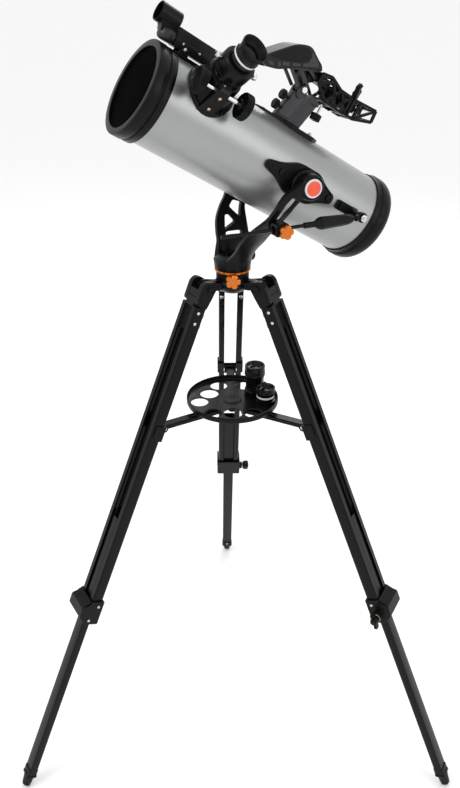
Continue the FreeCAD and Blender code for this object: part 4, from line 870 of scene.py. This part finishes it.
for i in range(6):
    block(cover, -10.4 + 2.6 * i, -9.2 + 2.6 * i, -39, -28, 111, 117)
piece("pinion_cover", cover, FOCUS, "tube", SHADE, bevel=0.3, slot="black_plastic")
for height in (72, 98):
    screw_head("pinion_screw_%d" % height, FOCUS @ shift(-1.5, -38.9, height) @ ALONG_NEAR, 2.5, 1.4,
        "tube", BRASS, "cross")
screw_head("pinion_cover_screw", FOCUS @ shift(-8, -33, 117), 1.4, 0.9, "tube", STEEL, "cross")

knob_axis = FOCUS @ shift(0, PINION_Y, PINION_Z)
turned("focus_shaft", [(0, -36), (3, -36), (3, 36), (0, 36)], knob_axis, "focus_knobs", CHROME,
    "focus_knobs", turn=ALONG_X, around=48, slot="steel")
for side in (-1, 1):
    where = knob_axis @ rot(90 * side, "Y")
    knob_mesh = bmesh.new()
    spin(knob_mesh, [(3, 31), (6.6, 31), (7.2, 32), (7.6, 34), (14, 35.4), (17.8, 34.6), (19, 33.8, 0),
        (18.7, 34.6, 1.3), (18.7, 44.6, 1.3), (18.9, 45.8, 0.3), (18, 46), (16.6, 46), (15.4, 44.8),
        (12.4, 43.6), (11.8, 44.2), (10.8, 44.2), (10.2, 43.2), (7, 42.8), (6.4, 43.6), (5.4, 43.6),
        (5, 43), (0, 43)], segments=288, wave=ribs(48))
    for i in range(8):
        spoke = rounded([(6, 33.2), (16.8, 34.4), (16.8, 36.4), (6, 36.4)], 0.6, 2)
        prism(knob_mesh, spoke, -0.9, 0.9, rot(45 * i, "Z"))
    piece("focus_knob_%d" % (side > 0), knob_mesh, where, "focus_knobs", PLASTIC, angle=30,
        slot="black_plastic")

turned("drawtube", [(20.2, 62), (22, 62), (22, 112.4), (20.2, 112.4)], FOCUS, "focuser", CHROME, "drawtube",
    around=128, loop=True, slot="chrome")
turned("collar", [(16.3, 112.6), (24.8, 112.6), (25.8, 113.4), (26, 114.6), (26, 117.6), (25.2, 118.4),
    (25.2, 120), (26, 120.8), (26.4, 122), (26.4, 137.4), (25.8, 139.4), (24.6, 140.8), (23, 141),
    (16.3, 141)], FOCUS, "focuser", PLASTIC, around=160, loop=True, slot="black_plastic")
for side in (-1, 1):
    where = FOCUS @ shift(side * 26, 0, 130) @ rot(90 * side, "Y")
    bm = bmesh.new()
    if side < 0:
        spin(bm, [(0, -9), (1.9, -9), (1.9, 2), (2.4, 2.4), (2.4, 3.4), (4.3, 4.2), (4.4, 5, 0.4),
            (4.4, 9.4, 0.4), (4.2, 10.6), (3, 11), (0, 11)], segments=120, wave=ribs(20))
    else:
        spin(bm, [(0, -9), (1.9, -9), (1.9, 3), (3, 3.4, 1.6), (3.2, 4.2, 2), (3.2, 8.6, 2),
            (2.9, 9.6, 1.8), (0, 10)], segments=96, wave=lobes(3))
    piece("eyepiece_screw_%d" % (side > 0), bm, where, "focuser", CHROME,
        ("eyepiece_screws",) if side < 0 else (), slot="steel")

TOP = 141.0
turned("eyepiece_barrel", [(13.9, TOP - 21), (15.4, TOP - 21), (15.85, TOP - 20.4), (15.85, TOP + 0.2),
    (13.9, TOP + 0.2)], FOCUS, "eyepiece", CHROME, "eyepiece", around=96, loop=True, slot="chrome")
turned("eyepiece_body", [(13.9, TOP + 0.3), (19.2, TOP + 0.3), (20, TOP + 1), (20, TOP + 6.6),
    (19.4, TOP + 7), (19.4, TOP + 12.4), (20, TOP + 12.8), (20, TOP + 14), (18.4, TOP + 15),
    (17.8, TOP + 16), (17.8, TOP + 19), (15, TOP + 19.4), (14, TOP + 18.2), (0, TOP + 18.2)], FOCUS,
    "eyepiece", GLOSS, around=128, angle=30, slot="gloss_black")
turned("eyepiece_band", [(19.3, TOP + 8.4), (19.65, TOP + 8.6), (19.65, TOP + 11.2), (19.3, TOP + 11.4)],
    FOCUS, "eyepiece", WHITE, around=128)
turned("eyecup", [(16, TOP + 18.6), (18.4, TOP + 18.8), (18.8, TOP + 19.8), (18.6, TOP + 21),
    (20.4, TOP + 25.4), (21.6, TOP + 29.6), (21.4, TOP + 30.9), (20.4, TOP + 31), (19.6, TOP + 30),
    (18, TOP + 26), (16, TOP + 22.6), (14.4, TOP + 21.6), (13.4, TOP + 20.2)], FOCUS, "eyepiece", RUBBER,
    around=128, angle=30, slot="gloss_black")
turned("eye_lens", [(13.6, TOP + 20.4), (10, TOP + 21.2), (5, TOP + 21.9), (0, TOP + 22.1)], FOCUS,
    "eyepiece", LENS, around=64)


# ---- finder --------------------------------------------------------------------------------------
finder_foot = bmesh.new()
prism(finder_foot, rounded([(33, -11), (85, -11), (85, 11), (33, 11)], 4), 62, 74.6, Matrix(), "xy")
prism(finder_foot, rounded([(35, -8.6), (84, -8.6), (84, 8.6), (35, 8.6)], 2), 74, 76.2, Matrix(), "xy")
for side in (-1, 1):
    low, high = sorted((side * 10.4, side * 12.8))
    prism(finder_foot, rounded([(36, 70), (54, 70), (51, 84), (47, 87), (41, 87), (37, 83)], 3), low, high)
piece("finder_foot", carve(finder_foot, tube_cutter(70.1, 0, 200)), TUBE, "tube", PLASTIC, "finder_bracket",
    bevel=0.5, slot="black_plastic")
for side in (-1, 1):
    screw_head("finder_pin_%d" % (side > 0), TUBE @ shift(44, side * 12.8, 82) @ rot(-90 * side, "X"), 2.6,
        1.4, "tube", STEEL, "cross")

finder_mesh = bmesh.new()
prism(finder_mesh, rounded([(-10, 78.3), (10, 78.3), (10, 90), (8.4, 91.2), (8, 104.6), (6.6, 106.6),
    (-6.6, 106.6), (-8, 104.6), (-8.4, 91.2), (-10, 90)], 0.8, 3), 25, 98, Matrix(), "yz")
slit = bmesh.new()
prism(slit, rounded([(93.5, -2.6), (99, -2.6), (99, 2.6), (93.5, 2.6)], 1), 84, 97, Matrix(), "xy")
piece("finder_body", carve(finder_mesh, slit), TUBE, "finder", PLASTIC, "finder_body", bevel=0.35, angle=32,
    slot="black_plastic")
turned("finder_nose", [(0, 78.4), (9, 78.4), (12.4, 80), (14.2, 83.4), (14.6, 87), (14.6, 91.4),
    (13.8, 92.4), (13.8, 93.2), (13, 94.4), (11, 96.4), (0, 97)], TUBE, "finder", SHADE,
    turn=shift(13, 0, 0), around=96, angle=32, slot="black_plastic")
neck = bmesh.new()
neck_rows = []
for z, front, rear, wide in ((88, -1, 27, 9), (94, -3, 26, 10), (99, -7, 23, 11.4), (104, -10.4, 21, 13.4),
        (110, -13, 20.8, 14.9)):
    ring = rounded([(front, -wide), (rear, -wide), (rear, wide), (front, wide)], 2.4)
    neck_rows.append([neck.verts.new((x, y, z)) for x, y in ring])
for a, b in zip(neck_rows, neck_rows[1:]):
    for i in range(len(a)):
        neck.faces.new([a[i], a[(i + 1) % len(a)], b[(i + 1) % len(a)], b[i]])
neck.faces.new(neck_rows[0])
neck.faces.new(neck_rows[-1][::-1])
sight_bore = bmesh.new()
spin(sight_bore, [(0, -30), (13.4, -30), (13.4, 40), (0, 40)], shift(0, 0, 110) @ ALONG_X, 96)
piece("finder_neck", carve(neck, sight_bore), TUBE, "finder", PLASTIC, angle=35, slot="black_plastic")
turned("finder_sight", [(13.3, -13.6), (14.4, -14), (15, -13.2), (15, 20.2), (14.4, 21), (13.3, 21)], TUBE,
    "finder", PLASTIC, turn=shift(0, 0, 110) @ ALONG_X, around=96, loop=True, angle=35,
    slot="black_plastic")
turned("finder_window", [(13.3, 16), (13.3, 17.6), (0, 17.6), (0, 16)], TUBE, "finder", LENS,
    turn=shift(0, 0, 110) @ ALONG_X, around=64)
for along in (39, 68):
    for side in (-1, 1):
        where = TUBE @ shift(along, side * 10, 88) @ rot(-90 * side, "X")
        screw_head("finder_screw_%d_%d" % (along, side > 0), where, 1.7, 0.8, "finder", STEEL, "cross")
ridges = bmesh.new()
for i in range(6):
    for side in (-1, 1):
        low, high = sorted((side * 9.6, side * 10.5))
        block(ridges, 40 + 7 * i, 45 + 7 * i, low, high, 79.4, 83)
piece("finder_ridges", ridges, TUBE, "finder", PLASTIC, bevel=0.2, slot="black_plastic")


# ---- phone dock ----------------------------------------------------------------------------------
base = bmesh.new()
half = [(193, 7), (202, 13), (240, 17), (256, 26), (300, 27), (318, 13)]
plan = rounded(half + [(x, -y) for x, y in half[::-1]], 5)
prism(base, plan, 55, 72.5, Matrix(), "xy")
prism(base, rounded([(222, -15.5), (312, -15.5), (312, 15.5), (222, 15.5)], 4), 72, 77, Matrix(), "xy")
prism(base, rounded([(262, -25), (298, -25), (298, 25), (262, 25)], 4), 70, 75.4, Matrix(), "xy")
piece("dock_saddle", carve(base, tube_cutter(70.1, 100, 400)), TUBE, "tube", PLASTIC, "dock_base",
    bevel=0.8, slot="black_plastic")
tower = bmesh.new()
tower_rows = []
TOWER_FOOT, TOWER_TOP, TOWER_LEAN = 74, 120, 11
for z, lean in ((TOWER_FOOT, 0), (TOWER_TOP, TOWER_LEAN)):
    plan = [(228, -5), (249, -17), (257, -17), (280, -6), (280, 6), (257, 17), (249, 17), (228, 5)]
    tower_rows.append([tower.verts.new((x + lean, y, z)) for x, y in plan])
for i in range(8):
    tower.faces.new([tower_rows[0][i], tower_rows[0][(i + 1) % 8], tower_rows[1][(i + 1) % 8],
        tower_rows[1][i]])
tower.faces.new(tower_rows[0])
tower.faces.new(tower_rows[1][::-1])
for side in (-1, 1):
    low, high = sorted((side * 9, side * 15))
    prism(tower, rounded([(243, 112), (260, 112), (257.5, 129), (253, 134), (247, 134), (243, 129)], 4),
        low, high)
    low, high = sorted((side * 2, side * 15.5))
    prism(tower, rounded([(262, 116), (289, 116), (286, 124), (268, 127)], 3), low, high)
piece("dock_tower", tower, TUBE, "tube", SHADE, bevel=1.0, slot="black_plastic")
panel = bmesh.new()
lean = TOWER_LEAN / (TOWER_TOP - TOWER_FOOT)
for side in (-1, 1):
    corners = [(231, 78), (247.6, 78), (247.6, 116), (231, 116)]
    skins = []
    for push in (0.3, 1.1):
        row = []
        for x, z in corners:
            y = 5 + (x - 228) * 12 / 21 + push
            row.append(panel.verts.new((x + lean * (z - TOWER_FOOT) - push * 0.5, side * y, z)))
        skins.append(row)
    panel.faces.new(skins[0])
    panel.faces.new(skins[1][::-1])
    for i in range(4):
        j = (i + 1) % 4
        panel.faces.new([skins[0][i], skins[0][j], skins[1][j], skins[1][i]])
piece("dock_tower_panel", panel, TUBE, "tube", GREY, bevel=0.3, slot="black_plastic")
turned("dock_pivot", [(0, -18), (4.4, -18), (5, -17.4), (5, -15), (3, -14.8), (3, 14.8), (5, 15), (5, 17.4),
    (4.4, 18), (0, 18)], TUBE @ shift(250, 0, 127), "tube", STEEL, turn=ALONG_NEAR, around=48, slot="steel")
for x in (208, 307):
    where = TUBE @ shift(x, 0, 72.6 if x < 250 else 77)
    screw_head("saddle_screw_%d" % x, where, 3.6, 2.0, "tube", STEEL, "hex")


def aiming_knob(name, where, radius, thick, shaft):
    """Ribbed knob with a shaft; the knob lies below local z = 0 and the shaft runs up."""
    bm = bmesh.new()
    spin(bm, [(0, shaft), (2.4, shaft), (2.4, 0)], segments=32)
    spin(bm, [(2.4, 0), (radius - 2.4, 0), (radius - 1, -0.6, 0.5), (radius - 0.8, -1.6, 0.8),
        (radius - 0.8, -thick + 1.6, 0.8), (radius - 1.4, -thick + 0.5, 0.3), (radius - 3, -thick),
        (radius * 0.5, -thick), (radius * 0.44, -thick + 0.8), (0, -thick + 0.8)], segments=144,
        wave=ribs(24))
    return piece(name, bm, where, name, PLASTIC, name, angle=30, slot="black_plastic")


aiming_knob("dock_knob_upper", TUBE @ shift(229, -6, 106) @ ALONG_X, 8, 9, 13)
aiming_knob("dock_knob_lower", TUBE @ shift(225, -6, 88) @ ALONG_X, 8, 9, 13)
aiming_knob("dock_side_knob", TUBE @ shift(301, 0, 110), 9, 12, 1)
turned("dock_side_shaft", [(0, 110), (2.5, 110), (2.5, 134.4), (0, 134.4)], TUBE @ shift(301, 0, 0),
    "dock_side_knob", CHROME, around=32, slot="steel")

# hood: a curved shell over side walls, with a ribbed frame along the lower edge of each side
HOOD = [(158, 131), (161, 126), (168, 124), (187, 129.3), (223, 150.7), (249.5, 162), (260, 162.6),
    (254, 171.4), (244, 175), (226, 184), (217.9, 184.4), (205, 180), (196, 174.6), (188.5, 168),
    (174, 154), (161, 141)]
hood = bmesh.new()
prism(hood, rounded(HOOD, 6), -22, 22)
hollow = bmesh.new()
prism(hollow, rounded([(150, 110), (156, 130), (166, 141), (178, 152), (192, 165), (208, 176), (222, 180),
    (232, 174), (238, 162), (250, 110)], 4), -19.4, 19.4)
piece("dock_hood", carve(hood, hollow), TUBE, "dock_head", GLOSS, "dock_head", bevel=0.9, angle=30,
    slot="black_plastic")
for side in (-1, 1):
    label = "near" if side < 0 else "far"
    trim = bmesh.new()
    low, high = sorted((side * 21.6, side * 22.7))
    prism(trim, rounded([(164, 139), (191, 146), (219, 157), (228, 164), (229, 173), (221.5, 181),
        (208, 178), (196, 172), (186, 162), (174, 150)], 5), low, high)
    piece("hood_side_panel_" + label, trim, TUBE, "dock_head", PLASTIC, bevel=0.5, slot="black_plastic")
    cells = bmesh.new()
    low, high = sorted((side * 21.7, side * 22.8))
    for cell in ([(165, 132), (175, 136), (179, 131), (171, 129)], [(182, 139.6), (186, 141.4),
            (190, 136.2), (185, 133.4)], [(188.5, 143), (200, 147.6), (203, 143.4), (192, 138.4)],
            [(205, 150), (218.4, 155), (220.6, 152.2), (207, 145.8)], [(222, 157.2), (229.6, 162.4),
            (231, 172.6), (225.6, 179.6), (244, 172.2), (249.6, 165.4), (224, 153.6)]):
        prism(cells, rounded(cell, 0.8, 3), low, high)
    piece("hood_cells_" + label, cells, TUBE, "dock_head", SHADE, bevel=0.3, slot="black_plastic")
    struts = bmesh.new()
    for start, end in (((212, 145), (240, 127)), ((226, 152), (257, 133)), ((240, 158), (262, 150)),
            ((212, 145), (262, 165)), ((232, 150), (246, 136))):
        bar(struts, (start[0], side * 12, start[1]), (end[0], side * 11, end[1]), 4, 5)
    piece("dock_struts_" + label, struts, TUBE, "dock_head", SHADE, bevel=0.5, slot="black_plastic")
link = bmesh.new()
prism(link, rounded([(243, 127), (247, 120.4), (253, 120.4), (257, 127), (256, 140), (240, 154),
    (232, 152)], 3), -8.6, 8.6)
prism(link, rounded([(254, 140), (262.4, 146), (262.4, 164), (250, 162), (246, 150)], 2), -8.6, 8.6)
piece("dock_link", link, TUBE, "dock_head", PLASTIC, bevel=0.8, slot="black_plastic")
mirror_pane = bmesh.new()
prism(mirror_pane, [(168, 144), (206, 175), (205.2, 176), (167.2, 145)], -18.6, 18.6)
piece("dock_mirror", mirror_pane, TUBE, "dock_head", MIRROR)

# cradle: two open side frames joined by bars, with a channel for the jaw's tongue
SIDE_FRAME = [(264, 148), (264, 163), (282, 166), (307, 157), (332, 157), (332, 129), (289, 129)]
BRACES = (((289, 130), (308, 156)), ((310, 130), (290, 160)), ((311, 130), (331, 156)),
    ((331, 130), (311, 156)), ((264, 150), (289, 160)))
cradle = bmesh.new()
for y in (-19.4, 23.4):
    for start, end in list(zip(SIDE_FRAME, SIDE_FRAME[1:] + SIDE_FRAME[:1])) + list(BRACES):
        bar(cradle, (start[0], y, start[1]), (end[0], y, end[1]), 4.6, 4.6)
for x, z in ((265, 162), (266, 150), (283, 165), (307, 156.6), (331, 156.6), (290, 130), (310, 130),
        (331, 130)):
    bar(cradle, (x, -19, z), (x, 23, z), 4.4, 4.4)
for start, end in (((284, -18), (306, 22)), ((284, 22), (306, -18)), ((309, -18), (330, 22)),
        ((309, 22), (330, -18))):
    rise = 164 if start[0] < 300 else 157
    bar(cradle, (start[0], start[1], rise), (end[0], end[1], 157), 3.6, 3.2)
for y in (-7.4, 7.4):
    block(cradle, 286, 333, y - 1.8, y + 1.8, 137, 153)
block(cradle, 266, 290, -12, 16, 148, 161)
piece("phone_cradle", cradle, TUBE, "dock_head", PLASTIC, "phone_cradle", bevel=0.4, slot="black_plastic")

jaw = bmesh.new()
JAW_FRAME = [(339, 130), (352, 130), (388, 142), (386, 161), (352, 158), (339, 157)]
for y in (-19.4, 23.4):
    for start, end in list(zip(JAW_FRAME, JAW_FRAME[1:] + JAW_FRAME[:1])) + [((352, 130), (352, 158)),
            ((352, 131), (384, 159))]:
        bar(jaw, (start[0], y, start[1]), (end[0], y, end[1]), 4.6, 4.6)
for x, z in ((340, 156), (340, 131), (353, 157), (353, 131), (387, 142), (385, 160)):
    bar(jaw, (x, -19, z), (x, 23, z), 4.6, 4.6)
for start, end in (((342, -18), (352, 22)), ((354, -18), (384, 22)), ((354, 22), (384, -18))):
    bar(jaw, (start[0], start[1], 157), (end[0], end[1], 158), 3.4, 3.2)
block(jaw, 291, 341, -4.8, 4.8, 140.2, 149.8)
block(jaw, 338, 350, -16, 20, 138, 152)
for x, y, top in ((337, -16, 182), (358, 18, 178)):
    bar(jaw, (x + 3, y, 156), (x - 3, y - 4, top - 4), 8, 7)
    bar(jaw, (x + 3, y, 156), (x + 7, y + 4, top - 7), 7, 6)
    bar(jaw, (x - 3, y - 4, top - 5), (x - 1, y - 4, top), 8, 6)
piece("phone_jaw", jaw, TUBE, "phone_jaw", PLASTIC, "phone_jaw", bevel=0.4, slot="black_plastic")


# ---- floor, light and camera ---------------------------------------------------------------------
floor = bpy.data.meshes.new("floor")
floor.from_pydata([(-60, -60, 0), (60, -60, 0), (60, 60, 0), (-60, 60, 0)], [], [(0, 1, 2, 3)])
floor_obj = bpy.data.objects.new("floor", floor)
bpy.context.scene.collection.objects.link(floor_obj)
floor.materials.append(material("pale_floor", (0.93, 0.93, 0.93), 0, 0.9, 0.01, 30, 0.02, 0.03, specular=0.1))

world = bpy.data.worlds.new("studio")
bpy.context.scene.world = world
world.use_nodes = True
world.node_tree.nodes["Background"].inputs["Color"].default_value = (1, 1, 1, 1)
world.node_tree.nodes["Background"].inputs["Strength"].default_value = 1.0


def softbox(name, location, target, size, power):
    """Large square light that looks at a point."""
    light = bpy.data.lights.new(name, "AREA")
    light.size = size
    light.energy = power
    obj = bpy.data.objects.new(name, light)
    bpy.context.scene.collection.objects.link(obj)
    obj.location = location
    obj.rotation_euler = (Vector(target) - Vector(location)).to_track_quat("-Z", "Y").to_euler()


softbox("key", (-2.2, -1.6, 3.2), (0, 0, 0.9), 1.6, 34)
softbox("fill", (2.4, -1.8, 1.8), (0, 0, 0.8), 1.8, 14)
softbox("back", (0.8, 2.4, 2.8), (0, 0, 0.9), 1.4, 24)

camera = bpy.data.cameras.new("camera")
camera.sensor_width = 36.0
camera.lens = 36.93
camera.shift_x = 0.0415
camera.shift_y = -0.0264
camera_obj = bpy.data.objects.new("camera", camera)
bpy.context.scene.collection.objects.link(camera_obj)
camera_obj.location = (-0.03796, -1.42973, 1.48430)
camera_obj.rotation_euler = [math.radians(angle) for angle in (62.617138, 1.029088, 0.598985)]
bpy.context.scene.camera = camera_obj
bpy.context.scene.view_settings.view_transform = "Standard"
